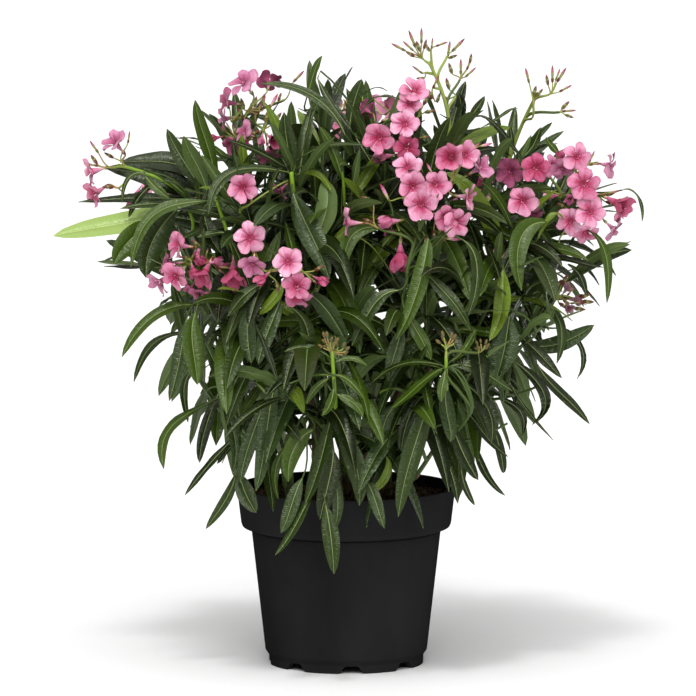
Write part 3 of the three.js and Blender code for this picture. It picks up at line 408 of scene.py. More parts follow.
# Leaves with places of their own: four points from root to tip, width, tone, and how far the blade faces
# forwards.
SET_LEAVES = [
    (-156, -45, 509, -202, -50, 498, -262, -55, 488, -318, -60, 478, 29, "pale", 1.0),
    (-153, -30, 514, -197, -30, 516, -235, -30, 516, -292, -30, 512, 14, "dark", 0.9),
    (-153, -6, 525, -176, -5, 547, -206, -5, 554, -247, -4, 553, 24, "dark", 1.0),
    (-151, -16, 518, -181, -15, 528, -214, -15, 539, -264, -14, 548, 22, "dark", 1.0),
    (-150, -95, 520, -190, -105, 515, -217, -115, 496, -232, -125, 451, 13, "fresh", 0.8),
    (-184, -85, 509, -201, -93, 490, -213, -102, 467, -216, -110, 438, 27, "cool", 1.0),
    (-202, -75, 493, -223, -82, 485, -240, -88, 470, -251, -95, 451, 22, "fresh", 0.9),
    (-175, -60, 447, -213, -60, 444, -240, -60, 444, -263, -60, 445, 9, "deep", 0.2),
    (-140, -80, 534, -148, -83, 572, -157, -87, 600, -163, -90, 629, 16, "fresh", 1.0),
    (-151, -70, 529, -159, -70, 551, -168, -70, 568, -176, -70, 588, 16, "fresh", 1.0),
    (-157, -40, 526, -172, -37, 550, -184, -33, 569, -195, -30, 592, 15, "mid", 1.0),
    (-143, 0, 566, -154, 0, 575, -168, 0, 579, -182, 0, 580, 7, "dark", 0.4),
    (-60, -100, 551, -104, -113, 557, -134, -127, 546, -148, -140, 510, 13, "mid", 0.5),
    (-58, -80, 550, -82, -90, 566, -104, -100, 578, -127, -110, 587, 10, "dark", 0.4),
    (-57, -120, 531, -46, -133, 505, -32, -147, 477, -18, -160, 442, 23, "cool", 1.0),
    (-59, -90, 553, -62, -92, 573, -65, -93, 591, -67, -95, 616, 17, "mid", 1.0),
    (-26, -110, 546, -20, -120, 525, -25, -130, 501, -36, -140, 480, 22, "fresh", -0.9),
    (-53, -100, 549, -37, -107, 552, -25, -113, 546, -16, -120, 532, 10, "bright", 0.7),
    (-53, -90, 564, -34, -97, 576, -12, -103, 582, 28, -110, 581, 10, "mid", 0.5),
    (-43, -30, 626, -38, -31, 643, -33, -33, 659, -26, -34, 672, 8, "fresh", 0.9),
    (-31, -40, 648, -20, -47, 627, -7, -53, 609, 6, -60, 593, 8, "dark", 0.6),
    (4, -40, 597, 7, -40, 616, 12, -40, 633, 17, -40, 647, 13, "mid", 1.0),
    (6, 0, 593, 24, -3, 618, 39, -7, 626, 59, -10, 623, 5, "dark", 0.2),
    (6, 10, 614, 22, 10, 629, 34, 10, 634, 45, 10, 630, 4, "dark", 0.2),
    (-1, -70, 589, -23, -63, 621, -55, -57, 639, -93, -50, 643, 9, "mid", 0.6),
    (42, -120, 493, 15, -127, 492, 1, -133, 476, -3, -140, 445, 15, "fresh", 0.8),
    (88, -150, 485, 84, -162, 461, 73, -173, 421, 53, -185, 379, 17, "fresh", 1.0),
    (56, -160, 430, 34, -163, 420, 19, -167, 397, 6, -170, 371, 14, "mid", 0.9),
    (85, -150, 449, 101, -153, 432, 117, -157, 414, 134, -160, 386, 13, "mid", 0.8),
    (169, -130, 449, 169, -137, 426, 166, -143, 401, 154, -150, 374, 16, "bright", 1.0),
    (176, -130, 399, 173, -133, 378, 169, -137, 357, 161, -140, 330, 25, "cool", 1.0),
    (156, -120, 366, 152, -122, 350, 149, -123, 334, 147, -125, 315, 17, "cool", 1.0),
    (179, -110, 381, 199, -113, 365, 215, -117, 349, 233, -120, 330, 13, "dark", 0.8),
    (197, -90, 407, 221, -93, 403, 233, -97, 380, 228, -100, 343, 11, "mid", 0.7),
    (191, -70, 363, 219, -73, 359, 245, -77, 368, 269, -80, 383, 16, "cool", 0.7),
    (229, -50, 376, 244, -47, 370, 258, -43, 349, 252, -40, 319, 7, "deep", 0.5),
    (208, -80, 339, 224, -77, 317, 243, -73, 298, 265, -70, 273, 10, "dark", 0.6),
    (183, -90, 344, 205, -87, 324, 217, -83, 299, 202, -80, 274, 11, "deep", 0.6),
    (176, -60, 322, 189, -57, 298, 206, -53, 275, 226, -50, 253, 4, "dark", 0.3),
    (167, -70, 302, 180, -68, 295, 192, -67, 282, 191, -65, 259, 8, "deep", 0.5),
    (109, -160, 346, 133, -160, 347, 155, -160, 336, 178, -160, 321, 12, "mid", 0.7),
    (103, -170, 345, 85, -177, 335, 66, -183, 320, 48, -190, 305, 13, "fresh", 0.7),
    (101, -165, 347, 74, -165, 351, 49, -165, 346, 28, -165, 331, 10, "mid", 0.6),
    (128, -150, 328, 142, -153, 316, 155, -157, 295, 156, -160, 264, 16, "dark", 0.9),
    (109, -165, 328, 107, -167, 307, 111, -168, 285, 112, -170, 267, 16, "cool", 1.0),
    (114, -160, 284, 122, -163, 263, 131, -167, 244, 142, -170, 226, 16, "dark", 0.9),
    (126, -130, 299, 142, -128, 280, 155, -127, 263, 175, -125, 245, 9, "dark", 0.6),
    (138, -110, 261, 145, -113, 238, 156, -117, 218, 172, -120, 202, 9, "dark", 0.7),
    (158, -110, 278, 164, -110, 261, 169, -110, 239, 170, -110, 225, 9, "dark", 0.8),
    (96, -160, 279, 104, -165, 258, 114, -170, 231, 120, -175, 201, 13, "dark", 0.9),
    (124, -140, 235, 127, -140, 219, 132, -140, 206, 139, -140, 194, 6, "dark", 0.7),
    (89, -170, 315, 79, -177, 281, 66, -183, 239, 56, -190, 189, 19, "mid", 1.0),
    (90, -160, 317, 74, -162, 306, 63, -163, 279, 60, -165, 256, 13, "dark", 0.8),
    (58, -150, 305, 45, -152, 294, 39, -153, 276, 34, -155, 252, 14, "cool", 0.9),
    (-9, -175, 281, 4, -180, 260, 13, -185, 233, 14, -190, 201, 18, "mid", 1.0),
    (21, -180, 227, 28, -185, 215, 34, -190, 198, 41, -195, 177, 12, "cool", 0.9),
    (42, -150, 250, 45, -152, 234, 36, -153, 218, 21, -155, 211, 8, "bright", 0.7),
    (-22, -195, 202, -18, -198, 181, -15, -202, 157, -13, -205, 129, 16, "mid", 1.0),
    (-14, -185, 260, -16, -188, 239, -22, -192, 213, -28, -195, 187, 18, "dark", 1.0),
    (-17, -175, 292, -23, -180, 265, -32, -185, 233, -44, -190, 203, 17, "mid", 1.0),
    (-36, -170, 280, -50, -175, 270, -60, -180, 251, -62, -185, 226, 18, "fresh", 1.0),
    (-47, -185, 230, -55, -188, 212, -62, -192, 191, -70, -195, 172, 14, "cool", 0.9),
    (-34, -185, 217, -47, -190, 194, -60, -195, 170, -76, -200, 149, 11, "mid", 0.8),
    (-13, -180, 238, -10, -182, 217, -9, -183, 197, -12, -185, 174, 11, "cool", 0.9),
    (-63, -150, 261, -73, -153, 245, -77, -157, 226, -73, -160, 204, 8, "fresh", 0.7),
    (-155, -110, 408, -190, -117, 406, -219, -123, 388, -242, -130, 354, 14, "fresh", 0.6),
    (-158, -90, 373, -193, -93, 373, -216, -97, 356, -230, -100, 323, 11, "mid", 0.5),
    (-162, -140, 404, -166, -147, 380, -163, -153, 354, -160, -160, 328, 20, "fresh", 1.0),
    (-172, -120, 395, -177, -125, 367, -182, -130, 340, -191, -135, 307, 15, "cool", 1.0),
    (-167, -110, 338, -175, -110, 321, -175, -110, 303, -171, -110, 280, 8, "mid", 0.8),
    (-144, -110, 305, -174, -117, 289, -195, -123, 268, -197, -130, 232, 14, "fresh", 0.6),
    (-137, -90, 313, -148, -93, 286, -156, -97, 259, -159, -100, 235, 11, "deep", 0.7),
    (-119, -100, 265, -139, -102, 244, -158, -103, 222, -175, -105, 200, 8, "dark", 0.5),
    (-118, -100, 260, -128, -100, 249, -135, -100, 240, -140, -100, 234, 5, "dark", 0.5),
    (-119, -120, 228, -126, -122, 206, -137, -123, 187, -152, -125, 166, 10, "mid", 0.7),
    (-115, -140, 230, -111, -145, 214, -105, -150, 201, -97, -155, 188, 17, "mid", 1.0),
    (-91, -150, 301, -99, -153, 278, -108, -157, 251, -114, -160, 221, 14, "cool", 1.0),
    (-74, -165, 336, -82, -170, 302, -88, -175, 259, -97, -180, 215, 17, "cool", 1.0),
    (-131, -140, 314, -125, -142, 287, -119, -143, 260, -123, -145, 230, 12, "cool", 0.9),
    (-103, -160, 416, -106, -163, 393, -105, -167, 372, -102, -170, 353, 17, "cool", 1.0),
    (-70, -165, 422, -79, -170, 399, -88, -175, 376, -94, -180, 353, 16, "cool", 1.0),
    (-120, -140, 398, -125, -143, 374, -125, -147, 355, -123, -150, 335, 15, "mid", 1.0),
    (-58, -165, 411, -45, -167, 397, -40, -168, 377, -42, -170, 353, 14, "mid", 0.9),
    (-95, -150, 364, -109, -152, 334, -120, -153, 308, -129, -155, 282, 13, "mid", 0.9),
    (-44, -160, 430, -26, -163, 415, -12, -167, 397, 1, -170, 374, 18, "cool", 1.0),
    (-90, -165, 438, -105, -167, 429, -116, -168, 418, -127, -170, 403, 13, "mid", 0.8),
    (-68, -165, 438, -74, -167, 426, -84, -168, 414, -93, -170, 405, 11, "bright", 0.8),
    (60, -165, 393, 55, -168, 372, 50, -172, 356, 45, -175, 334, 15, "cool", 1.0),
    (64, -165, 407, 75, -167, 388, 84, -168, 372, 91, -170, 356, 13, "fresh", 0.9),
    (120, -20, 579, 143, -30, 606, 167, -40, 592, 200, -50, 549, 13, "deep", 0.5),
    (146, 0, 590, 163, 0, 599, 176, 0, 608, 187, 0, 612, 5, "mid", 0.4),
    (215, -100, 497, 196, -110, 492, 185, -120, 469, 189, -130, 426, 19, "fresh", 0.9),
    (207, -100, 478, 216, -98, 497, 226, -97, 506, 235, -95, 500, 6, "bright", 0.5),
    (256, -90, 490, 275, -93, 475, 283, -97, 447, 282, -100, 409, 10, "fresh", 0.6),
    (300, -40, 526, 313, -40, 524, 321, -40, 510, 322, -40, 491, 4, "deep", 0.5),
    (210, -70, 451, 232, -70, 455, 254, -70, 450, 279, -70, 445, 8, "deep", 0.2),
    (243, -60, 445, 253, -60, 436, 258, -60, 425, 262, -60, 412, 7, "deep", 0.5),
    (126, -140, 482, 139, -143, 463, 140, -147, 434, 131, -150, 401, 12, "mid", 0.8),
    (235, -20, 560, 227, -20, 569, 221, -20, 576, 218, -20, 582, 8, "fresh", 0.9),
    (193, 0, 558, 203, 0, 569, 208, 0, 579, 213, 0, 591, 9, "mid", 0.9),
    (183, -10, 565, 181, -10, 576, 180, -10, 584, 179, -10, 593, 5, "dark", 0.8),
    (116, 0, 582, 121, 0, 599, 125, 0, 614, 122, 0, 628, 12, "deep", 1.0),
    (133, -10, 593, 139, -10, 607, 145, -10, 616, 151, -10, 626, 8, "mid", 0.8),
    (75, -50, 579, 77, -50, 595, 78, -50, 607, 80, -50, 621, 10, "mid", 1.0),
    (11, -60, 585, 24, -67, 564, 36, -73, 543, 42, -80, 523, 10, "dark", 0.8),
    (-14, -212, 344, -30, -213, 345, -43, -213, 342, -61, -214, 336, 6, "fresh", 0.5),
    (-12, -212, 345, 0, -213, 341, 11, -215, 331, 19, -216, 320, 9, "fresh", 0.8),
    (-17, -212, 364, -33, -212, 373, -49, -212, 375, -66, -212, 370, 7, "mid", 0.5),
    (-13, -213, 331, -15, -215, 320, -19, -216, 310, -26, -218, 302, 9, "fresh", 0.9),
    (-10, -210, 324, 1, -211, 319, 11, -213, 312, 18, -214, 300, 10, "fresh", 0.8),
    (-11, -212, 359, 2, -211, 363, 13, -211, 361, 23, -210, 354, 6, "fresh", 0.6),
    (-18, -205, 341, -28, -205, 334, -36, -205, 325, -43, -205, 312, 7, "fresh", 0.7),
    (106, -192, 348, 104, -194, 335, 102, -196, 325, 102, -198, 314, 9, "fresh", 0.9),
    (104, -190, 350, 84, -193, 337, 66, -195, 321, 48, -198, 307, 13, "fresh", 0.7),
    (103, -188, 352, 75, -188, 356, 50, -188, 350, 28, -188, 334, 11, "mid", 0.6),
    (111, -186, 351, 133, -184, 351, 154, -182, 340, 178, -180, 324, 13, "mid", 0.7),
    (111, -186, 356, 124, -184, 366, 133, -182, 379, 139, -180, 390, 9, "fresh", 0.8),
    (-148, -60, 517, -182, -61, 514, -213, -61, 513, -245, -62, 508, 12, "mid", 0.6),
    (-215, -46, 546, -233, -47, 543, -241, -49, 531, -244, -50, 513, 5, "mid", 0.9),
    (-204, -56, 536, -218, -57, 528, -229, -59, 514, -236, -60, 498, 7, "dark", 0.9),
    (-218, -66, 544, -210, -67, 535, -202, -69, 528, -191, -70, 519, 9, "fresh", 0.7),
    (-154, -100, 508, -151, -103, 495, -145, -107, 479, -134, -110, 464, 15, "dark", 0.9),
    (-130, -112, 487, -141, -114, 487, -151, -116, 485, -161, -118, 483, 8, "mid", 0.8),
    (-3, -100, 541, -9, -100, 561, -17, -100, 581, -29, -100, 601, 11, "fresh", 0.9),
    (-170, -30, 516, -181, -30, 525, -190, -30, 532, -203, -30, 536, 15, "deep", 0.7),
]

# ---- Basics --------------------------------------------------------------------------------------


def heading(azimuth, lean):
    a, b = math.radians(azimuth), math.radians(lean)
    return np.array([math.sin(b) * math.cos(a), math.sin(b) * math.sin(a), math.cos(b)])


def on_ring(radius, angle, height):
    return radius * math.cos(angle), radius * math.sin(angle), height


def spot(azimuth, reach, height):
    return np.array(on_ring(reach, math.radians(azimuth), float(height)))


def ring_angles(sides):
    return [2 * math.pi * side / sides for side in range(sides)]


def around(across, over, angle):
    """A direction in the plane of two others, at an angle from the first."""
    return across * math.cos(angle) + over * math.sin(angle)


def unit(vector):
    return vector / np.linalg.norm(vector)


def turn(vector, axis, angle):
    """The vector turned about a unit axis by an angle in degrees."""
    a = math.radians(angle)
    return (vector * math.cos(a) + np.cross(axis, vector) * math.sin(a)
            + axis * np.dot(axis, vector) * (1 - math.cos(a)))


def mix(a, b, share):
    return a + (b - a) * share


def times(a, b):
    return (a * b) & 0xFFFFFFFF


def seeded(seed):
    """Evenly spread numbers from 0 to 1, the same ones as in the solids for the same seed."""
    state = [seed & 0xFFFFFFFF]

    def draw():
        state[0] = (state[0] + 0x6D2B79F5) & 0xFFFFFFFF
        now = state[0]
        mixed = times(now ^ (now >> 15), now | 1)
        mixed = ((mixed + times(mixed ^ (mixed >> 7), mixed | 61)) & 0xFFFFFFFF) ^ mixed
        return (mixed ^ (mixed >> 14)) / 4294967296

    return draw


def spread(random, width):
    return (2 * random() - 1) * width


def square_to(direction, angle):
    reference = UP if abs(direction[2]) < 0.95 else np.array([1.0, 0.0, 0.0])
    return turn(unit(np.cross(direction, reference)), direction, angle)


def axes_of(direction, angle):
    across = square_to(direction, angle)
    return across, np.cross(direction, across)


def tilted(direction, angle, tilt):
    t = math.radians(tilt)
    return direction * math.cos(t) + square_to(direction, angle) * math.sin(t)


CURVE_SHARES = np.linspace(0, 1, 201)


class Curve:
    """A Bezier curve that is read by the share of its length."""

    def __init__(self, *points):
        self.points = [np.asarray(point, float) for point in points]
        table = np.array([self.raw(share) for share in CURVE_SHARES])
        steps = np.linalg.norm(np.diff(table, axis=0), axis=1)
        self.runs = np.concatenate([[0], np.cumsum(steps)])
        self.length = self.runs[-1]

    def raw(self, share):
        level = self.points
        while len(level) > 1:
            level = [mix(a, b, share) for a, b in zip(level, level[1:])]
        return level[0]

    def parameter(self, share):
        return float(np.interp(share * self.length, self.runs, CURVE_SHARES))

    def at(self, share):
        return self.raw(self.parameter(share))

    def places(self, first, last, count):
        return np.array([self.at(share) for share in np.linspace(first, last, count)])

    def tangent(self, share):
        where = self.parameter(share)
        low, high = max(0.0, where - 1e-4), min(1.0, where + 1e-4)
        return unit(self.raw(high) - self.raw(low))

    def frames(self, steps):
        """Tangents with two directions square to them that don't twist along the run."""
        tangents = [self.tangent(i / steps) for i in range(steps + 1)]
        first = tangents[0]
        axis = np.zeros(3)
        axis[int(np.argmin(np.abs(first)))] = 1.0
        normals = [np.cross(first, unit(np.cross(first, axis)))]
        for before, after in zip(tangents, tangents[1:]):
            bend = np.cross(before, after)
            size = np.linalg.norm(bend)
            normal = normals[-1]
            if size > 1e-9:
                angle = math.degrees(math.acos(max(-1.0, min(1.0, float(np.dot(before, after))))))
                normal = turn(normal, bend / size, angle)
            normals.append(normal)
        return tangents, normals, [np.cross(t, n) for t, n in zip(tangents, normals)]


def swung(start, start_direction, end, end_direction, pull, ease=1.0):
    """A curve that leaves along one direction and arrives along another, which can pull less."""
    return Curve(start, start + start_direction * pull, end - end_direction * pull * ease, end)


def tapered(radii):
    """A limb's radius along its run, from its foot to its tip."""
    return lambda share: mix(radii["foot"], radii["tip"], share)


def open_share(point):
    """How much of the crown's radius is filled towards a point."""
    azimuth = math.degrees(math.atan2(point[1], point[0]))
    share = 1.0
    for middle, half, top, least in OPEN_SIDES:
        away = abs((azimuth - middle + 180) % 360 - 180)
        if away < half and point[2] < top:
            share = min(share, mix(least, 1.0, max(0.0, away / half - 0.6) / 0.4))
    return share


def crown_radius(height):
    heights = [row[0] for row in CROWN]
    if not heights[0] <= height < heights[-1]:
        return 0.0
    return float(np.interp(height, heights, [row[1] for row in CROWN]))


def inside_crown(points):
    return all(math.hypot(*point[:2]) < crown_radius(point[2]) * open_share(point) for point in points)


TAKEN = np.zeros((60000, 3))
TAKEN_COUNT = [0]
TAKEN_REACH = 30
EMPTY = 1e3


def take(points):
    """Notes where the plant already is."""
    start = TAKEN_COUNT[0]
    TAKEN[start:start + len(points)] = points
    TAKEN_COUNT[0] += len(points)


def room_round(points):
    """The least distance from any of the points to what is already there."""
    taken = TAKEN[:TAKEN_COUNT[0]]
    low, high = points.min(axis=0) - TAKEN_REACH, points.max(axis=0) + TAKEN_REACH
    near = taken[np.all((taken > low) & (taken < high), axis=1)]
    if len(near) == 0:
        return EMPTY
    return float(np.min(np.linalg.norm(near[None, :, :] - points[:, None, :], axis=2)))


# ---- Meshes --------------------------------------------------------------------------------------


class Piece:
    """Gathers points and faces for one joined mesh, each face with a material by name."""

    def __init__(self, name, materials):
        self.name = name
        self.materials = materials
        self.slots = {material: i for i, material in enumerate(materials)}
        self.points, self.faces, self.tones, self.coordinates = [], [], [], []
        self.count = 0

    def add(self, points, faces, tones, coordinates=None):
        points = np.asarray(points, float).reshape(-1, 3)
        self.points.append(points)
        self.faces.extend([tuple(i + self.count for i in face) for face in faces])
        names = [tones] * len(faces) if isinstance(tones, str) else tones
        self.tones.extend(self.slots[name] for name in names)
        if coordinates is None:
            coordinates = np.zeros((len(points), 2))
        self.coordinates.append(np.asarray(coordinates, float))
        self.count += len(points)

    def build(self, slot, replaced):
        points = np.concatenate(self.points) * MM
        mesh = bpy.data.meshes.new(self.name)
        mesh.from_pydata(points.tolist(), [], self.faces)
        for name in self.materials:
            mesh.materials.append(MATERIALS[name])
        mesh.polygons.foreach_set("material_index", self.tones)
        mesh.polygons.foreach_set("use_smooth", [True] * len(mesh.polygons))
        corners = np.empty(len(mesh.loops), dtype=np.int32)
        mesh.loops.foreach_get("vertex_index", corners)
        layer = mesh.uv_layers.new(name="along")
        layer.data.foreach_set("uv", np.concatenate(self.coordinates)[corners].ravel())
        mesh.update()
        piece = bpy.data.objects.new(self.name, mesh)
        bpy.context.collection.objects.link(piece)
        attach(piece, "root")
        if replaced:
            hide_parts(*replaced)
        return piece


def grid_faces(rows, columns, closed=False):
    """Quads over a grid of points held row by row."""
    faces = []
    for row in range(rows - 1):
        for column in range(columns if closed else columns - 1):
            a, b = row * columns + column, row * columns + (column + 1) % columns
            faces.append((a, b, b + columns, a + columns))
    return faces


def turned_over(faces):
    return [tuple(reversed(face)) for face in faces]


def tube(piece, curve, radius_at, tone, sides, steps, relief=None, cap=True):
    """A round limb along a curve. Relief, if any, is added to the radius by run and angle."""
    tangents, normals, binormals = curve.frames(steps)
    points, coordinates = [], []
    for i in range(steps + 1):
        share = i / steps
        centre = curve.at(share)
        for side, angle in enumerate(ring_angles(sides)):
            radius = radius_at(share) + (relief(share * curve.length, angle) if relief else 0.0)
            points.append(centre + around(normals[i], binormals[i], angle) * radius)
            coordinates.append((side / sides, share * curve.length / 100))
    faces = grid_faces(steps + 1, sides, closed=True)
    if cap:
        points.append(curve.at(1) + tangents[-1] * 0.5 * radius_at(1))
        coordinates.append((0, curve.length / 100))
        tip, ring = len(points) - 1, steps * sides
        faces += [(ring + side, ring + (side + 1) % sides, tip) for side in range(sides)]
    piece.add(points, faces, tone, coordinates)


def revolve(piece, profile, tone, sides):
    """A surface of revolution about the pot's axis, through (radius, height) points."""
    points = [on_ring(radius, angle, height) for radius, height in profile for angle in ring_angles(sides)]
    piece.add(points, grid_faces(len(profile), sides, closed=True), tone)


# ---- Materials -----------------------------------------------------------------------------------

MATERIALS = {}

LEAF_TONES = {
    "leaf_deep": (15, 25, 2),
    "leaf_dark": (23, 35, 4),
    "leaf_mid": (37, 53, 8),
    # leaf_cool's greyer, bluer green is partly the leaf's own cooler tone and partly painted sheen, for the
    # silvery gloss these leaves show.
    "leaf_cool": (42, 59, 22),
    "leaf_fresh": (56, 77, 14),
    "leaf_bright": (98, 120, 28),
    "leaf_pale": (152, 178, 96),
    "leaf_under": (86, 106, 56),
    "midrib": (124, 140, 82),
    "midrib_pale": (196, 208, 136),
}
LEAF_SHINE = {"specular": 0.45, "tint": (0.93, 1.0, 0.78, 1), "waxy": 0.26, "dull": 0.5}
LEAF_CRINKLE = {"cool": 0.6, "other": 0.38, "depth": 0.0025, "vein": 0.12}


def ladder(name, count, colours):
    """Even steps of tone through a few colours, named by their order."""
    places = np.linspace(0, len(colours) - 1, count)
    steps = [np.interp(places, range(len(colours)), [colour[i] for colour in colours]) for i in range(3)]
    return {f"{name}_{i}": tuple(float(step[i]) for step in steps) for i in range(count)}


PINKS = [(150, 20, 60), (176, 52, 94), (196, 98, 134), (214, 134, 165), (229, 160, 188), (240, 190, 211)]
PETAL_TONES = {
    **ladder("petal", 12, PINKS),
    # The mauve ladder is painted shade: darker, bluer copies of the petal pinks for flowers in shadow.
    **ladder("mauve", 9, [(128, 30, 70), (160, 68, 106), (186, 104, 140), (212, 146, 176)]),
    **ladder("faded", 4, [(120, 56, 76), (160, 104, 120), (186, 146, 150)]),
    "bud_pink": (176, 104, 112),
    "bud_rose": (130, 52, 66),
    "bud_base": (156, 148, 90),
    "bud_brown": (104, 92, 48),
    "bud_orange": (108, 90, 40),
    "bud_cream": (222, 196, 150),
}
STALK_TONES = {
    "stalk": (150, 166, 76),
    "stalk_bright": (122, 158, 32),
    "stalk_dark": (84, 102, 44),
    "stalk_warm": (162, 138, 84),
    "calyx": (128, 62, 50),
    "calyx_green": (128, 124, 62),
    "twig_green": (66, 86, 34),
}
CHIP_TONES = {"chip_dark": (44, 32, 24), "chip_brown": (112, 80, 58), "chip_pale": (160, 128, 96)}


def tone(red, green, blue):
    """A display colour, 0 to 255, as a linear one."""
    values = [value / 255 for value in (red, green, blue)]
    return tuple(v / 12.92 if v <= 0.04045 else ((v + 0.055) / 1.055) ** 2.4 for v in values) + (1.0,)


def surface(name, colour, roughness, specular, sheen=0.0):
    material = bpy.data.materials.new(name)
    material.use_nodes = True
    shader = material.node_tree.nodes["Principled BSDF"]
    shader.inputs["Base Color"].default_value = colour
    shader.inputs["Roughness"].default_value = roughness
    shader.inputs["Specular IOR Level"].default_value = specular
    shader.inputs["Sheen Weight"].default_value = sheen
    material.diffuse_color = colour
    MATERIALS[name] = material
    return material.node_tree, shader


def add_node(tree, kind, **inputs):
    """A new node with some of its inputs set, each by its name with _ for a space."""
    node = tree.nodes.new(kind)
    for name, value in inputs.items():
        node.inputs[name.replace("_", " ")].default_value = value
    return node


def noise(tree, scale, detail=3.0, stretch=(1, 1, 1)):
    place = add_node(tree, "ShaderNodeTexCoord")
    mapping = add_node(tree, "ShaderNodeMapping", Scale=stretch)
    texture = add_node(tree, "ShaderNodeTexNoise", Scale=scale, Detail=detail)
    tree.links.new(place.outputs["Object"], mapping.inputs["Vector"])
    tree.links.new(mapping.outputs["Vector"], texture.inputs["Vector"])
    return texture.outputs["Fac"]


def vary_roughness(tree, shader, scale, low, high, detail=3.0):
    node = add_node(tree, "ShaderNodeMapRange", From_Min=0.3, From_Max=0.7, To_Min=low, To_Max=high)
    tree.links.new(noise(tree, scale, detail), node.inputs["Value"])
    tree.links.new(node.outputs["Result"], shader.inputs["Roughness"])


def bump(tree, shader, value, strength, distance):
    node = add_node(tree, "ShaderNodeBump", Strength=strength, Distance=distance)
    tree.links.new(value, node.inputs["Height"])
    tree.links.new(node.outputs["Normal"], shader.inputs["Normal"])


def two_tone(tree, shader, value, first, second):
    """Blends two colours over the surface by a value."""
    ramp = add_node(tree, "ShaderNodeValToRGB")
    for stop, position, colour in zip(ramp.color_ramp.elements, (0.36, 0.64), (first, second)):
        stop.position, stop.color = position, tone(*colour)
    tree.links.new(value, ramp.inputs["Fac"])
    tree.links.new(ramp.outputs["Color"], shader.inputs["Base Color"])


def leaf_surface(name, colour):
    """A leaf's plain colour, with crinkles, fine cross veins and a waxy shine that varies."""
    roughness = LEAF_SHINE["dull" if "under" in name or "midrib" in name else "waxy"]
    tree, shader = surface(name, tone(*colour), roughness, LEAF_SHINE["specular"])
    shader.inputs["Specular Tint"].default_value = LEAF_SHINE["tint"]
    along = add_node(tree, "ShaderNodeUVMap")
    along.uv_map = "along"
    mapping = add_node(tree, "ShaderNodeMapping", Scale=(3.4, 2.6, 1))
    folds = add_node(tree, "ShaderNodeTexNoise", Scale=1.0, Detail=2.0)
    wave = add_node(tree, "ShaderNodeTexWave", Scale=3.0, Distortion=3.0, Detail=2.0)
    wave.bands_direction = "DIAGONAL"
    both = add_node(tree, "ShaderNodeMath")
    both.operation = "MULTIPLY_ADD"
    both.inputs[1].default_value = LEAF_CRINKLE["vein"]
    tree.links.new(along.outputs["UV"], mapping.inputs["Vector"])
    tree.links.new(mapping.outputs["Vector"], folds.inputs["Vector"])
    tree.links.new(along.outputs["UV"], wave.inputs["Vector"])
    tree.links.new(wave.outputs["Fac"], both.inputs[0])
    tree.links.new(folds.outputs["Fac"], both.inputs[2])
    crinkle = LEAF_CRINKLE["cool" if name == "leaf_cool" else "other"]
    bump(tree, shader, both.outputs["Value"], crinkle, LEAF_CRINKLE["depth"])
    vary_roughness(tree, shader, 45, roughness - 0.07, roughness + 0.1)


def petal_surface(name, colour):
    tree, shader = surface(name, tone(*colour), 0.55, 0.3, sheen=0.2)
    bump(tree, shader, noise(tree, 420, 2.0), 0.25, 0.0004)
    vary_roughness(tree, shader, 160, 0.48, 0.64)


def stalk_surface(name, colour):
    tree, shader = surface(name, tone(*colour), 0.5, 0.4)
    bump(tree, shader, noise(tree, 900, 2.0), 0.3, 0.0003)


def chip_surface(name, colour):
    tree, shader = surface(name, tone(*colour), 0.9, 0.2)
    bump(tree, shader, noise(tree, 700, 4.0), 0.6, 0.001)


def bark_surface(name, light, dark):
    tree, shader = surface(name, tone(*light), 0.75, 0.3)
    streaks = noise(tree, 260, 5.0, (1, 1, 0.25))
    two_tone(tree, shader, streaks, dark, light)
    bump(tree, shader, streaks, 0.6, 0.0012)


def make_materials():
    for maker, tones in ((leaf_surface, LEAF_TONES), (petal_surface, PETAL_TONES),
                         (stalk_surface, STALK_TONES), (chip_surface, CHIP_TONES)):
        for name, colour in tones.items():
            maker(name, colour)
    bark_surface("bark", (104, 92, 60), (60, 54, 34))
    bark_surface("bark_young", (84, 92, 50), (58, 62, 34))

    tree, shader = surface("plastic", tone(36, 36, 37), 0.5, 0.0)
    two_tone(tree, shader, noise(tree, 9, 6.0, (1, 1, 0.5)), (31, 31, 32), (40, 40, 41))
    vary_roughness(tree, shader, 26, 0.42, 0.56, 6.0)
    bump(tree, shader, noise(tree, 900, 4.0), 0.18, 0.0003)

    tree, shader = surface("peat", tone(58, 44, 33), 0.95, 0.2)
    clods = noise(tree, 210, 8.0)
    two_tone(tree, shader, clods, (30, 22, 16), (92, 68, 50))
    bump(tree, shader, clods, 1.0, 0.003)

    tree, shader = surface("floor", tone(253, 253, 253), 0.85, 0.1)
    bump(tree, shader, noise(tree, 30, 2.0), 0.02, 0.001)


# ---- Twigs ---------------------------------------------------------------------------------------


def twig_curve(entry):
    """A shoot's leading twig, which bends upwards halfway."""
    half = TWIG["length"] * entry["scale"] / 2
    tip = spot(entry["azimuth"], entry["reach"], entry["height"])
    start = heading(entry["azimuth"], entry["lean"])
    end = heading(entry["azimuth"], entry["lean"] * TWIG["straighten"])
    bend = tip - end * half
    return Curve(bend - start * half, bend, tip)


def side_twig(leader, entry, order, random, rule):
    share = rule["from"] + rule["apart"] * order
    foot, tangent = leader.at(share), leader.tangent(share)
    start = tilted(tangent, 180 * order + 360 * random(), rule["tilt"] + spread(random, 8))
    end = unit(start + UP * TWIG["rise"])
    half = rule["scale"] * TWIG["length"] * entry["scale"] / 2
    bend = foot + start * half
    return Curve(foot, bend, bend + end * half)


def roomiest_twig(leader, entry, order, seed, rule):
    best_room, best = 0, None
    for attempt in range(TWIG["tries"]):
        curve = side_twig(leader, entry, order, seeded(seed + attempt), rule)
        room = room_round(curve.places(0.35, 1, 8))
        if inside_crown([curve.at(1)]) and (best is None or room > best_room):
            best_room, best = room, curve
        if best_room > TWIG["room"]:
            break
    return best


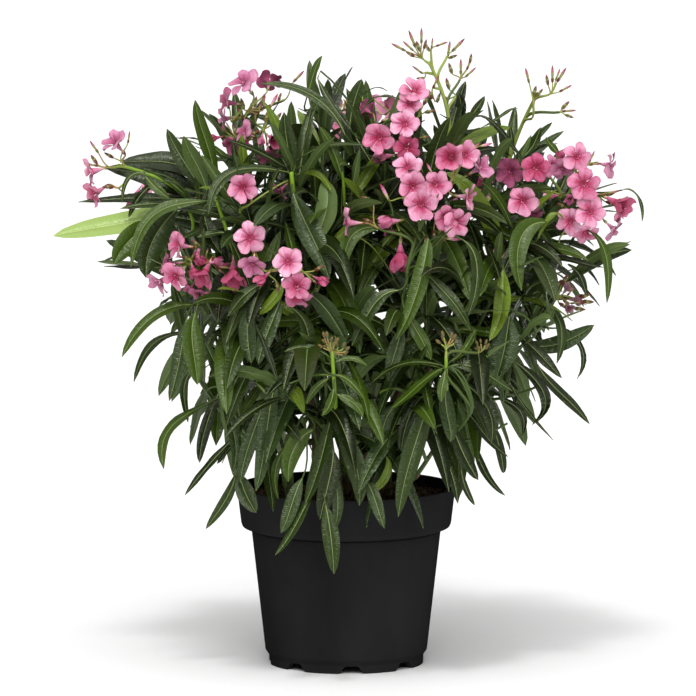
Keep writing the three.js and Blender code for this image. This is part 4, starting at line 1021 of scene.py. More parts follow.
def grow_twigs(entry, seed):
    leader = twig_curve(entry)
    twigs = [(leader, 1.0)]
    take(leader.places(0, 1, 12))
    for rule, count in ((SIDE_TWIG, entry["forks"]), (FINE_TWIG, 1)):
        for order in range(count):
            twig = roomiest_twig(leader, entry, order, seed * 100 + rule["seed"] + order * 10, rule)
            if twig is not None:
                take(twig.places(0, 1, 12))
                twigs.append((twig, rule["scale"]))
    return twigs


def places_on(twigs, first, count):
    """Places along each twig from a share of its length on, and the way it heads at each."""
    shares = np.linspace(first, 1, count)
    pairs = [(curve.at(share), curve.tangent(share)) for curve, _ in twigs for share in shares]
    return [np.array(rows) for rows in zip(*pairs)]


def nearest_place(places, directions, point):
    """How far off the nearest place is, where it is, and which way its twig heads."""
    gaps = np.linalg.norm(places - point, axis=1)
    nearest = int(np.argmin(gaps))
    return gaps[nearest], places[nearest], directions[nearest]


# ---- Leaves --------------------------------------------------------------------------------------

STATIONS = 14
STATION_SHARES = np.linspace(0, 1, STATIONS + 1)
ACROSS = [0, 0.14, 0.31, 0.34, 0.31, 0.14, 0]
RIB_COLUMNS = (2, 3)
BLADE_FACES = grid_faces(STATIONS + 1, len(ACROSS))
SET_LEAF = {"wider": 1.16, "roll": 30, "gap": 2.5, "foot": 1.6, "tip": 0.9, "seed": 7000}
FRONT = np.array([0.0, -1.0, 0.25])


def leaf_width(share):
    """Half a leaf's width over its length: a short petiole, widest near the middle, and a long point."""
    blade = np.clip((share - 0.035) / 0.965, 0, 1)
    body = np.sin(np.pi * blade ** 0.94) ** 0.58
    return np.maximum(body, 0.03 + 0.07 * (share < 0.06))


class Leaf:
    """A leaf's midrib with its side and upper directions, ready to be made into a blade."""

    def __init__(self, foot, direction, axis, length, droop, roll, twist=0.0, sway=0.0):
        side = turn(unit(np.cross(direction, axis)), direction, roll)
        points, directions = [foot], [direction]
        for i in range(STATIONS):
            share = (i + 0.5) / STATIONS
            step = unit(direction - UP * 2 * droop * share + side * sway * share)
            points.append(points[-1] + step * length / STATIONS)
            directions.append(step)
        self.length = length
        self.points = np.array(points)
        self.directions = np.array(directions)
        flats = [unit(side - along * np.dot(side, along)) for along in directions]
        turns = [twist * i / STATIONS for i in range(STATIONS + 1)]
        self.sides = np.array([turn(*row) for row in zip(flats, directions, turns)])
        self.ups = np.cross(self.sides, self.directions)


class SetLeaf:
    """A leaf through four points, with its blade turned towards the front by a share and rolled a little."""

    def __init__(self, points, facing, roll):
        p0, p1, p2, p3 = points
        t = STATION_SHARES[:, None]
        a, b, c = t - 1 / 3, t - 2 / 3, t - 1
        self.points = (-4.5 * a * b * c * p0 + 13.5 * t * b * c * p1
                       - 13.5 * t * a * c * p2 + 4.5 * t * a * b * p3)
        self.directions = np.gradient(self.points, axis=0)
        self.directions /= np.linalg.norm(self.directions, axis=1)[:, None]
        self.length = float(np.sum(np.linalg.norm(np.diff(self.points, axis=0), axis=1)))
        target = FRONT * facing + UP * (1 - abs(facing)) + UP * 0.15
        ups = target - self.directions * (self.directions @ target)[:, None]
        ups = ups / np.linalg.norm(ups, axis=1)[:, None]
        self.ups = around(ups, np.cross(self.directions, ups), roll)
        self.sides = np.cross(self.directions, self.ups)


def blade(piece, leaf, width, tone_name, random):
    """The two faces of a leaf, with a pale midrib in a shallow channel on top and a keel below."""
    half = leaf_width(STATION_SHARES) * width / 2
    rib = np.minimum(mix(0.62, 0.2, STATION_SHARES), 0.6 * half) / half
    fold = mix(0.16, 0.42, random())
    bow = mix(0.45, 1.05, random())
    wave, phase, pace = mix(0.2, 1.1, random()), 6.28 * random(), mix(1.2, 2.6, random())
    ripple = wave * np.sin(2 * np.pi * pace * STATION_SHARES + phase)
    swing = wave * np.sin(2 * np.pi * pace * 1.17 * STATION_SHARES + phase + 2.0)
    ones = np.ones_like(half)
    columns = [-ones, -0.55 * ones, -rib, 0 * ones, rib, 0.55 * ones, ones]

    def face(middle, flat, margin):
        """The points of one face, lifted by its own amounts at the midrib, on the blade and at its edges."""
        rows = []
        for order, column in enumerate(columns):
            across = column * half
            lift = middle if order == 3 else margin if order in (0, 6) else flat
            edge = column ** 2 * np.where(across < 0, ripple, swing) * np.sin(np.pi * STATION_SHARES)
            height = fold * np.abs(across) * (1 - bow * np.abs(column)) + edge + lift
            rows.append(leaf.points + leaf.sides * across[:, None] + leaf.ups * height[:, None])
        return np.stack(rows, axis=1)

    under, midrib = ("leaf_pale", "midrib_pale") if tone_name == "leaf_pale" else ("leaf_under", "midrib")
    along = np.repeat(STATION_SHARES * leaf.length / 10, len(ACROSS))
    coordinates = np.stack([np.tile(ACROSS, STATIONS + 1), along], axis=1)
    for points, faces, name in ((face(-0.25, 0, 0), BLADE_FACES, tone_name),
                                (face(-0.85, -0.35, -0.12), turned_over(BLADE_FACES), under)):
        row = [midrib if column in RIB_COLUMNS else name for column in range(len(ACROSS) - 1)]
        piece.add(points, faces, row * STATIONS, coordinates)


LEAF_CHANCES = {"leaf_deep": 0.16, "leaf_dark": 0.38, "leaf_mid": 0.62, "leaf_cool": 0.8, "leaf_fresh": 0.97}


def leaf_tone(order, height, random):
    """Young leaves at a twig's tip are brighter. Those low in the crown are deeper."""
    pick = random() + 0.1 * (order < 2) - 0.08 * (height < 300)
    return next((name for name, limit in LEAF_CHANCES.items() if pick < limit), "leaf_bright")


def try_leaf(node, growth, seed, attempt):
    random = seeded(seed + attempt)
    angle = math.radians(growth["angle"] + spread(random, 10 + 6 * attempt))
    tilt = math.radians(min(LEAF["tilt_most"], growth["tilt"]) + spread(random, 6 + 2 * attempt))
    length = growth["length"] * (1 + spread(random, 0.08) - LEAF["shrink"] * attempt)
    droop = growth["droop"] * (1 + spread(random, 0.25)) + 0.06 * attempt
    roll = spread(random, 14)
    out = around(node["across"], node["over"], angle)
    direction = around(node["axis"], out, tilt)
    twist, sway = spread(random, 22), spread(random, 0.22)
    foot = node["point"] + out * LEAF["petiole"] * 1.4
    return Leaf(foot, direction, node["axis"], length, droop, roll, twist, sway), random


def grow_leaf(piece, node, growth, seed):
    """The best of a few tries: the one with the most room that stays inside the crown."""
    best = None
    for attempt in range(LEAF["tries"]):
        leaf, random = try_leaf(node, growth, seed, attempt)
        if not inside_crown([leaf.points[-1], leaf.points[10]]):
            continue
        room = min(room_round(leaf.points[4:]), LEAF["most_room"]) - LEAF["later_try"] * attempt
        if best is None or room > best[0]:
            best = (room, leaf, random)
        if room > LEAF["ample_room"]:
            break
    if best is None or best[0] < LEAF["least_room"]:
        return 0
    _, leaf, random = best
    take(leaf.points[3:])
    width = LEAF["slender"] * mix(0.9, 1.1, random()) * max(leaf.length, LEAF["short"])
    name = leaf_tone(growth["order"], leaf.points[5][2], random)
    blade(piece, leaf, width * mix(0.8, 1.0, min(1.0, leaf.length / LEAF["long"])), name, random)
    return 1


def grow_whorls(piece, entry, curve, scale, twig_seed):
    """Whorls of leaves from a twig's tip down. Returns how many leaves grew."""
    steps = 24
    tangents, normals, binormals = curve.frames(steps)
    room = curve.length - WHORL["foot_clear"] - WHORL["first"]
    grown = 0
    for order in range(math.ceil(room / WHORL["pitch"])):
        share = 1 - (WHORL["first"] + WHORL["pitch"] * order) / curve.length
        step = round(share * steps)
        node = {"point": curve.at(share), "axis": tangents[step]}
        node.update(across=normals[step], over=binormals[step])
        size = min(1.0, LEAF["youngest"] + LEAF["growth"] * order)
        for leaf in range(WHORL["leaves"]):
            if seeded(twig_seed * 777 + order * 3 + leaf)() > KEPT.get(entry["name"], 1.0):
                continue
            growth = {
                "angle": WHORL["face"] + 360 / WHORL["leaves"] * leaf + WHORL["turn"] * order,
                "tilt": LEAF["tilt"] + LEAF["tilt_gain"] * order,
                "length": LEAF["length"] * size * mix(1, scale, 0.3),
                "droop": entry["droop"] * (LEAF["droop"] + LEAF["droop_gain"] * order),
                "order": order,
            }
            grown += grow_leaf(piece, node, growth, twig_seed * 1000 + order * 60 + leaf * 20)
    return grown


def grow_reaching(piece, entry):
    twig, at = twig_curve(SHOOT_NAMED[entry["mass"]]), entry["at"]
    direction = heading(entry["azimuth"], 90 - entry["rise"])
    leaf = Leaf(twig.at(at), direction, twig.tangent(at), entry["length"], entry["droop"], 0)
    take(leaf.points[2:])
    blade(piece, leaf, entry["length"] * LEAF["slender"], "leaf_mid", seeded(round(entry["azimuth"] * 7)))


def grow_set_leaves(piece, twig_piece, twigs_of):
    """Places each set leaf, and joins its root to the nearest twig where a gap is left."""
    places, directions = places_on([twig for twigs in twigs_of.values() for twig in twigs], 0.05, 20)
    for i, (*points, width, name, facing) in enumerate(SET_LEAVES):
        random = seeded(SET_LEAF["seed"] + i)
        roll = math.radians(spread(random, SET_LEAF["roll"]))
        leaf = SetLeaf(np.array(points, float).reshape(4, 3), facing, roll)
        take(leaf.points[1:])
        blade(piece, leaf, SET_LEAF["wider"] * width, "leaf_" + name, random)
        gap, start, direction = nearest_place(places, directions, leaf.points[0])
        if gap > SET_LEAF["gap"]:
            path = swung(start, direction, leaf.points[0], leaf.directions[0], 0.4 * gap)
            tube(twig_piece, path, tapered(SET_LEAF), "twig_green", 6, 8, cap=False)


# ---- Blossom -------------------------------------------------------------------------------------

# Each kind of flower takes part of a ladder of tones: its name, and its steps in the throat and at the edge.
# The kinds on the mauve ladder, dusk and shade, are painted shade: darker, bluer pinks for flowers that sit
# in shadow inside the crown or face away from the lamps.
TONE_SETS = {
    "light": ("petal", 0.5, 11.2),
    "mid": ("petal", 0.2, 9.6),
    "rose": ("petal", 0.0, 7.6),
    "deep": ("petal", -0.5, 5.0),
    "dusk": ("mauve", 1.0, 8.4),
    "shade": ("mauve", 0.0, 5.0),
    "faded": ("faded", 0.0, 3.2),
}
LADDER_TOP = {"petal": 11, "mauve": 8, "faded": 3}
PETAL_ROWS = np.array([0.0, 0.12, 0.26, 0.4, 0.53, 0.66, 0.77, 0.87, 0.95, 1.0])
PETAL_COLUMNS = np.array([-1.0, -0.7, -0.35, 0.0, 0.35, 0.7, 1.0])
PETAL_FACES = grid_faces(len(PETAL_ROWS), len(PETAL_COLUMNS))

# How far a petal leans out at its foot and at its edge, for the flowers that aren't fully open. A petal
# whose edge leans out less than CLOSED_BELOW is cupped.
FLOWER_ANGLES = {"half": (46, -16), "faded": (30, 40), "cup": (24, 36)}
CLOSED_BELOW = 50

# A flower's tube: the share of its length, a distance more, and the radius. The levels are its tones above
# the foot.
TUBE_OUTLINE = (
    (0, 0, 1.1), (0.35, 0, 1.4), (0.62, 0, 2.4), (0.85, 0, 3.4), (1, 0, 3.8), (1, 0.5, 3.0), (1, -1.2, 0.1),
)
TUBE_LEVELS = (0.95, 0.75, 0.6, 0.2, 0.1)
SEPALS = 5

# Each kind of bud: its length, its greatest radius and its tones from foot to tip.
BUD_KINDS = {
    "bud": (16.0, 1.6, ("bud_brown", "bud_base", "bud_base", "bud_pink", "bud_rose", "bud_rose")),
    "pink_bud": (20.0, 2.3, ("bud_cream", "bud_cream", "petal_9", "petal_6", "petal_3", "petal_2")),
    "tip": (8.0, 1.4, ("bud_brown", "bud_brown", "bud_base", "bud_brown", "bud_rose", "bud_rose")),
    "brown": (6.5, 1.7, ("bud_brown", "bud_brown", "bud_orange", "bud_orange", "bud_orange", "bud_brown")),
}
BUD_OUTLINE = ((0, 0.62), (0.16, 0.7), (0.34, 0.86), (0.55, 1.0), (0.74, 0.78), (0.9, 0.4), (1.0, 0.05))
PEDICEL = {"bud": 0.85, "flower": 1.1}

# The radii of each stalk at its foot and its tip, and the length from which a spray's stalk is darker.
STALK = {"main": (2.3, 1.7), "spray": (1.9, 1.4), "fan": (1.6, 1.3), "long": 34}


def petal_half(share):
    """Half a petal's width: narrow at the throat, widest past the middle, round at the end."""
    grown = np.sin(np.pi / 2 * np.clip(share / PETAL["widest"], 0, 1)) ** 1.4
    ended = np.clip((share - PETAL["widest"]) / (1.02 - PETAL["widest"]), 0, 1)
    return (PETAL["base"] + (PETAL["half"] - PETAL["base"]) * grown) * np.sqrt(1 - ended ** 2)


def petal_grid(size, start, end, random):
    """One petal in its flower's own frame: rows of points with x outward, y sideways and z along the axis."""
    s = PETAL_ROWS[:, None]
    t = PETAL_COLUMNS[None, :]
    fine = np.linspace(0, 1, 60)
    angle = np.radians(start + (end - start) * np.minimum(1, fine * 1.7))
    outward = np.interp(s, fine, np.cumsum(np.sin(angle)) / len(fine))
    forward = np.interp(s, fine, np.cumsum(np.cos(angle)) / len(fine))
    length = PETAL["length"] * size
    closed = end < CLOSED_BELOW
    x = PETAL["mouth"] * size + length * outward * (1 - 0.05 * np.abs(t) ** 2 * s + 0.04 * t * s)
    y = petal_half(s) * size * t + 1.5 * size * s ** 2
    overlap = (2.2 if closed else 2.1) * t * np.sqrt(s)
    cup = (1.2 if closed else mix(-1.3, 1.5, random())) * size * (1 - t ** 2) * s
    ruffle = mix(0.3, 1.3, random()) * np.sin(3.4 * t + 6.28 * random()) * s ** 2
    curl = -mix(0.2, 3.0, random()) * s ** 3
    z = length * forward + overlap * size + cup + ruffle + (0 if closed else curl)
    if closed:
        x = x + 0.8 * size * (1 - t ** 2) * np.sin(np.pi * s)
    return np.stack([np.broadcast_to(x, z.shape), np.broadcast_to(y, z.shape), z], axis=2)


def step_name(kind, level):
    ladder_name, low, high = TONE_SETS[kind]
    step = round(low + (high - low) * level)
    return f"{ladder_name}_{max(0, min(LADDER_TOP[ladder_name], step))}"


def petal_names(kind, random):
    """The tone of each face: deep at the throat with a streak up the middle, light towards the edge, and a
    step darker at the rim and the sides. That darkening is partly the petal's own rim colour and partly
    painted shade where petals curl and overlap.
    """
    shift = mix(-0.07, 0.07, random())
    streak = mix(0.08, 0.2, random())
    veins = [spread(random, 0.07) for _ in PETAL_COLUMNS[1:]]
    names = []
    for low, high in zip(PETAL_ROWS[:-1], PETAL_ROWS[1:]):
        share = (low + high) / 2
        for left, right, vein in zip(PETAL_COLUMNS[:-1], PETAL_COLUMNS[1:], veins):
            side = abs(left + right) / 2
            # Darker rim and sides: partly the petal's own rim lines, partly painted shade between overlapping
            # petals.
            edge = 0.16 * (share > 0.9) + 0.1 * (side > 0.8)
            level = share ** 0.58 + shift + vein + 0.1 * (side - 0.4) - edge
            level -= streak * (side < 0.3) * (share < 0.5)
            names.append(step_name(kind, max(0.0, min(1.0, level))))
    return names


def add_petals(piece, face, direction, across, over, size, angles, kind, random):
    start, end = angles
    for petal in range(PETAL["count"]):
        grid = petal_grid(size * mix(0.92, 1.06, random()), start, end + spread(random, 10), random)
        angle = 2 * math.pi * petal / PETAL["count"] + math.radians(spread(random, 5))
        outward = around(across, over, angle)
        sideways = np.cross(direction, outward)
        points = face + grid[..., 0:1] * outward + grid[..., 1:2] * sideways + grid[..., 2:3] * direction
        piece.add(points, PETAL_FACES, petal_names(kind, random))
        piece.add(points - direction * 0.4, turned_over(PETAL_FACES), step_name(kind, 0.66))


def lathe_along(piece, foot, direction, across, over, profile, tones, sides):
    """Rings of (distance along, radius) about a direction, with a tone for each band between them."""
    points = [foot + direction * distance + around(across, over, angle) * radius
              for distance, radius in profile for angle in ring_angles(sides)]
    names = [name for name in tones for _ in range(sides)]
    piece.add(points, grid_faces(len(profile), sides, closed=True), names)


def add_corona(piece, face, direction, across, over, size, random):
    """The fringe of small teeth round the throat."""
    points, faces, names = [], [], []
    teeth = 11
    for tooth in range(teeth):
        out = around(across, over, 2 * math.pi * (tooth + 0.4 * random()) / teeth)
        side = np.cross(direction, out)
        reach = mix(1.6, 4.2, random()) * size
        foot = face + out * 1.7 * size + direction * 0.2
        points += [foot - side * 0.5, foot + side * 0.5, foot + out * reach * 0.35 + direction * reach * 0.9]
        faces.append((3 * tooth, 3 * tooth + 1, 3 * tooth + 2))
        names.append("petal_9" if random() < 0.45 else "petal_3")
    piece.add(points, faces, names)


def add_calyx(piece, neck, direction, across, over, size, name):
    points, faces = [], []
    for sepal in range(SEPALS):
        out = around(across, over, 2 * math.pi * (sepal + 0.5) / SEPALS)
        side = np.cross(direction, out)
        foot = neck - direction * 1.2 + out * 0.8
        points += [foot - side * 1.1, foot + side * 1.1, neck + direction * 5.2 * size + out * 2.4 * size,
                   neck + direction * 2.0 * size + out * 2.3 * size]
        a, b, c, d = range(4 * sepal, 4 * sepal + 4)
        faces += [(a, b, d), (a, d, c), (b, c, d)]
    piece.add(points, faces, name)


def flower_tone(kind, chance):
    if kind in ("half", "cup"):
        return "rose" if chance < 0.55 else "deep"
    if kind == "open":
        return "light" if chance < 0.45 else "mid" if chance < 0.8 else "rose"
    return kind


def add_flower(pieces, face, direction, size, kind, random):
    """An open or half-open flower. Returns the neck, where its pedicel ends."""
    across, over = axes_of(direction, 360 * random())
    length = FLOWER_TUBE * size * (0.8 if kind == "half" else 1.0)
    neck = face - direction * length
    tones = flower_tone(kind, random())
    angles = FLOWER_ANGLES.get(kind, (36, mix(66, 94, random())))
    petals = pieces["petals"]
    add_petals(petals, face, direction, across, over, size, angles, tones, random)
    profile = [(share * length + more, radius * size) for share, more, radius in TUBE_OUTLINE]
    names = ["bud_cream"] + [step_name(tones, level) for level in TUBE_LEVELS]
    lathe_along(petals, neck, direction, across, over, profile, names, 10)
    if kind not in ("half", "faded"):
        add_corona(petals, face, direction, across, over, size, random)
    calyx = "calyx" if random() < 0.6 else "calyx_green"
    add_calyx(pieces["stalks"], neck, direction, across, over, size, calyx)
    centre = face + direction * 2
    ring = [centre + around(across, over, angle) * 15 * size for angle in np.linspace(0, 6.28, 7)[:-1]]
    take(np.array([centre, neck, centre + direction * 14, centre + direction * 30] + ring))
    return neck - direction * 1.2


def add_bud(pieces, foot, direction, size, kind, random):
    across, over = axes_of(direction, 360 * random())
    length, radius, names = BUD_KINDS[kind]
    length, radius = length * size, radius * size
    rings = [(share * length, part * radius) for share, part in BUD_OUTLINE]
    lathe_along(pieces["petals"], foot, direction, across, over, rings, names, 8)
    calyx = "calyx" if random() < 0.35 else "calyx_green"
    if kind != "brown":
        add_calyx(pieces["stalks"], foot, direction, across, over, 0.75 * size, calyx)
    take(np.array([foot, foot + direction * length]))
    return foot - direction


def stalk(pieces, start, start_direction, end, end_direction, foot, tip, name):
    pull = 0.4 * np.linalg.norm(end - start)
    curve = swung(start, start_direction, end, end_direction, pull, 0.7)
    tube(pieces["stalks"], curve, lambda share: mix(foot, tip, share), name, 6, 8, cap=False)
    take(curve.places(0.2, 1, 6))
    return curve


def grow_bloom(pieces, node, node_direction, row, anchor, random):
    kind, *offset, azimuth, rise, size = row
    direction = heading(azimuth, 90 - rise)
    add, radius = (add_bud, PEDICEL["bud"]) if kind in BUD_KINDS else (add_flower, PEDICEL["flower"])
    end = add(pieces, anchor + np.array(offset, float), direction, size, kind, random)
    name = "stalk" if random() < 0.55 else "stalk_warm"
    stalk(pieces, node, node_direction, end, direction, radius * 1.1, radius * 0.85, name)


def grow_spray(pieces, start, start_direction, node, blooms, anchor, random):
    away = node - start
    name = "stalk_dark" if np.linalg.norm(away) > STALK["long"] else "stalk"
    curve = stalk(pieces, start, start_direction, node, unit(away), *STALK["spray"], name)
    for row in blooms:
        grow_bloom(pieces, node, curve.tangent(1), row, anchor, random)


def main_stalk(pieces, entry):
    twig = twig_curve(SHOOT_NAMED[entry["mass"]])
    foot = twig.at(1)
    tip = spot(entry["azimuth"], entry["reach"], entry["height"])
    curve = Curve(foot, foot + twig.tangent(1) * 0.4 * np.linalg.norm(tip - foot), tip)
    name = "stalk_dark" if entry["flowers"] else "stalk"
    if entry["name"] == "blossom_left":
        name = "stalk_bright"
    tube(pieces["stalks"], curve, lambda share: mix(*STALK["main"], share), name, 8, 14)
    take(curve.places(0, 1, 12))
    return curve


def grow_head(pieces, entry, seed):
    """A head whose sprays have set places, or one that fans out over a dome by rule."""
    curve = main_stalk(pieces, entry)
    if entry["name"] not in SPRAYS:
        fan(pieces, entry, curve, seeded(seed * 1000))
        return
    anchor = curve.at(1)
    random = seeded(seed * 977)
    for offset, blooms in SPRAYS[entry["name"]]:
        node = anchor + np.array(offset, float)
        share = nearest_share(curve, node)
        grow_spray(pieces, curve.at(share), curve.tangent(share), node, blooms, anchor, random)


def nearest_share(curve, node):
    """A place on the stalk a little before the nearest one to the node, so that a branch heads forwards."""
    shares = np.linspace(0.3, 1, 30)
    gaps = [np.linalg.norm(curve.at(share) - node) for share in shares]
    nearest = int(np.argmin(gaps))
    return float(max(0.3, shares[nearest] - gaps[nearest] / curve.length))


def fan(pieces, entry, curve, random):
    """Flowers and buds over a dome about the stalk's tip, in sprays of three."""
    axis = curve.tangent(1)
    anchor = curve.at(1)
    kinds = ["open"] * entry["flowers"] + ["bud"] * entry["buds"]
    places = []
    for order, kind in enumerate(kinds):
        tilt = DOME["spread"] * math.sqrt((order + 0.5) / len(kinds)) + spread(random, 6)
        outward = tilted(axis, DOME["turn"] * order + spread(random, 10), tilt)
        reach = DOME["bud_reach" if kind == "bud" else "flower_reach"] * (1 + spread(random, 0.15))
        places.append((kind, outward, reach))
    groups = len(kinds) // 3
    for group in [places[i::groups] for i in range(groups)]:
        middle = unit(sum(outward for _, outward, _ in group) + axis * DOME["lift"])
        node = anchor + middle * DOME["branch"]
        share = mix(0.55, 0.9, random())
        twig = stalk(pieces, curve.at(share), curve.tangent(share), node, middle, *STALK["fan"], "stalk")
        for kind, outward, reach in group:
            position = anchor + outward * reach
            position[2] = min(position[2], DOME["top"])
            azimuth = math.degrees(math.atan2(outward[1], outward[0]))
            rise = math.degrees(math.asin(max(-1.0, min(1.0, outward[2])))) + spread(random, 12)
            row = (kind, 0, 0, 0, azimuth, rise, mix(0.88, 1.05, random()))
            grow_bloom(pieces, node, twig.tangent(1), row, position, random)


def grow_loose(pieces, place, blooms, twigs, random):
    """A small spray on a thin stalk from the nearest twig."""
    node = np.array(place, float)
    _, start, direction = nearest_place(*places_on(twigs, 0.25, 16), node)
    grow_spray(pieces, start, direction, node, blooms, np.zeros(3), random)


# ---- Limbs ---------------------------------------------------------------------------------------


def limb(foot, start, entry):
    """The run from a limb's foot to the lower end of its shoot's leading twig."""
    end = twig_curve(entry).at(0)
    pull = 0.36 * np.linalg.norm(end - foot)
    return swung(foot, start, end, heading(entry["azimuth"], entry["lean"]), pull)


def stem_curve(stem):
    return limb(spot(stem["azimuth"], stem["foot"], SOIL_LEVEL - 3), UP, stem)


def bough_curve(bough):
    curve = stem_curve(SHOOT_NAMED[bough["stem"]])
    foot = curve.at(bough["leaves_at"])
    tip = twig_curve(bough).at(0)
    return limb(foot, unit(curve.tangent(bough["leaves_at"]) + unit(tip - foot)), bough)


def stem_radius(share):
    flare = STEM["flare"] * max(0, 1 - share / STEM["flare_share"])
    return mix(STEM["foot"], STEM["tip"], share) * (1 + flare)


SCAR_PITCH = 19.0


def bark_relief(seed, scale):
    """Leaf scars in rings of three, with ridges and low swellings along the bark."""
    random = seeded(seed)
    phases = [6.28 * random() for _ in range(5)]

    def relief(run, angle):
        ridges = 0.16 * math.sin(5 * angle + 0.05 * run + phases[0])
        furrows = 0.1 * math.sin(9 * angle - 0.11 * run + phases[1])
        swell = 0.22 * math.sin(0.09 * run + phases[2]) + 0.14 * math.sin(0.23 * run + phases[3])
        ring = (run % SCAR_PITCH) / SCAR_PITCH
        scar = 0.45 * math.exp(-((ring - 0.5) / 0.09) ** 2) * max(0.0, math.cos(3 * angle + phases[4]))
        return scale * (ridges + furrows + swell + scar)

    return relief


def make_limbs():
    piece = Piece("trunks", ["bark", "bark_young"])
    for i, stem in enumerate(STEMS):
        tube(piece, stem_curve(stem), stem_radius, "bark", 16, 64, bark_relief(i + 11, 1.0))
    for i, bough in enumerate(BOUGHS):
        tube(piece, bough_curve(bough), tapered(BOUGH), "bark_young", 14, 44, bark_relief(i + 51, 0.7))
    names = [f"stem_{stem['name']}" for stem in STEMS] + [f"bough_{bough['name']}" for bough in BOUGHS]
    piece.build("stem", names)


# ---- Pot and soil --------------------------------------------------------------------------------


def rounded(profile, radius, steps=3):
    """The same profile with its corners taken off by short curves."""
    points = [np.array(point, float) for point in profile]
    result = [points[0]]
    for before, corner, after in zip(points, points[1:], points[2:]):
        back, forward = before - corner, after - corner
        reach = min(radius, 0.45 * np.linalg.norm(back), 0.45 * np.linalg.norm(forward))
        start, end = corner + unit(back) * reach, corner + unit(forward) * reach
        for i in range(steps + 1):
            share = i / steps
            result.append(mix(mix(start, corner, share), mix(corner, end, share), share))
    result.append(points[-1])
    return result


def pot_profile():
    """The pot's outer face from foot ring to rim, with a fine groove at the neck, and its inner face."""
    height, rim, band = POT["height"], POT["rim_radius"], POT["band_foot"]
    neck, wall = POT["neck"], POT["wall"]
    foot, foot_height = POT["foot"], POT["foot_height"]
    shoulder = height - POT["band_height"]
    crease = shoulder - POT["shoulder"]
    outer = [
        (foot, foot_height),
        (foot + 0.2, foot_height + 0.6),
        (POT["heel"], POT["heel_height"]),
        (neck, crease - 1.6),
        (neck - 1.5, crease - 0.4),
        (neck + 0.4, crease + 0.4),
        (mix(neck, band, 0.5), shoulder - 0.8 * POT["shoulder"]),
        (mix(neck, band, 0.88), shoulder - 0.5 * POT["shoulder"]),
        (band, shoulder + 1),
        (rim - 0.2, height - 4),
        (rim, height),
        (rim - wall, height),
    ]
    inner = [
        (rim - wall - 0.4, height - 6),
        (band - wall, shoulder),
        (neck - wall, crease),
        (POT["heel"] - wall, foot_height + 4),
        (20, foot_height + 3),
    ]
    return rounded(outer + inner, 1.0)


def gap_height(turn_from_gap):
    """The height of the opening under the pot's skirt, at an angle from the middle of the nearest gap."""
    half = POT["foot_gap"] / 2
    share = min(1.0, max(0.0, (half - abs(turn_from_gap)) / (0.6 * half)))
    return (POT["foot_height"] - 0.6) * share ** 2 * (3 - 2 * share)


def skirt_angles():
    """Azimuths round the skirt, close together in the gaps, each with its angle from its gap's middle."""
    half, sector = POT["foot_gap"] / 2, 360 / POT["feet"]
    inside = [-half * part for part in (1, 0.93, 0.86, 0.78, 0.7, 0.62, 0.54, 0.4, 0)]
    turns = inside + [-value for value in reversed(inside[:-1])]
    turns += list(np.linspace(half, sector - half, 8)[1:-1])
    starts = [POT["first_gap"] + sector * i for i in range(POT["feet"])]
    return [(start + value, min(value, half)) for start in starts for value in turns]


def make_skirt(piece):
    angles = skirt_angles()
    points = []
    outer, inner = POT["foot"], POT["foot_inner"]
    for radius, top in ((outer, True), (outer, False), (inner, False), (inner, True)):
        for azimuth, from_gap in angles:
            height = POT["foot_height"] if top else gap_height(from_gap)
            points.append(on_ring(radius, math.radians(azimuth), height))
    piece.add(points, turned_over(grid_faces(4, len(angles), closed=True)), "plastic")


def make_pot():
    piece = Piece("nursery_pot", ["plastic"])
    revolve(piece, pot_profile(), "plastic", POT["sides"])
    make_skirt(piece)
    low, high = POT["foot_height"], POT["foot_height"] + POT["well_rise"]
    ring, well = POT["floor_ring"], POT["well"]
    revolve(piece, [(ring, low), (POT["foot_inner"], low), (POT["foot"], low)], "plastic", POT["sides"])
    revolve(piece, [(well, high), (POT["well_inner"], high)], "plastic", 48)
    revolve(piece, [(ring, low), (ring, high), (well, high)], "plastic", POT["sides"])
    pot = piece.build("pot", ["pot"])
    pot.data.set_sharp_from_angle(angle=math.radians(SHARP_ANGLE))


def make_soil_top():
    piece = Piece("potting_soil", ["peat", *CHIP_TONES])
    random = seeded(5)
    rings, sides = 26, 96
    reach = POT["rim_radius"] - POT["wall"] - 1.1
    points = []
    for ring in range(rings + 1):
        radius = reach * (ring + 0.15) / (rings + 0.15)
        for a in ring_angles(sides):
            lump = 1.4 * math.sin(0.11 * radius + 3 * a) + 1.2 * math.sin(7 * a + 0.2 * radius)
            height = SOIL_LEVEL - 1.5 + 0.5 * lump + spread(random, 1.3) - 2.0 * (ring / rings) ** 8
            points.append(on_ring(radius, a, height))
    piece.add(points, grid_faces(rings + 1, sides, closed=True), "peat")
    for _ in range(CHIPS):
        add_chip(piece, random, reach)
    piece.build("soil", ["soil"])


def add_chip(piece, random, reach):
    radius, a = reach * math.sqrt(random()) * 0.985, 2 * math.pi * random()
    size = mix(0.8, 3.4, random() ** 2)
    centre = np.array(on_ring(radius, a, SOIL_LEVEL - 1.2 + 0.35 * size + random()))
    direction = unit(np.array([spread(random, 1), spread(random, 1), spread(random, 0.5) + 0.01]))
    across, over = axes_of(direction, 360 * random())
    corners = ((direction, -1), (across, 0.5), (over, 0.35), (across, -0.5), (over, -0.3), (direction, 1.1))
    faces = [(0, 2, 1), (0, 3, 2), (0, 4, 3), (0, 1, 4), (5, 1, 2), (5, 2, 3), (5, 3, 4), (5, 4, 1)]
    chance = random()
    name = "chip_dark" if chance < 0.6 else "chip_brown" if chance < 0.93 else "chip_pale"
    piece.add([centre + axis * size * part for axis, part in corners], faces, name)


# ---- The plant -----------------------------------------------------------------------------------


def make_twigs(piece, twigs_of):
    for curve, scale in [twig for twigs in twigs_of.values() for twig in twigs]:
        def radius_at(share, part=mix(1, scale, 0.7)):
            return mix(TWIG["foot"], TWIG["tip"], share) * part
        tube(piece, curve, radius_at, "twig_green", 8, 16)
    piece.build("foliage", [])


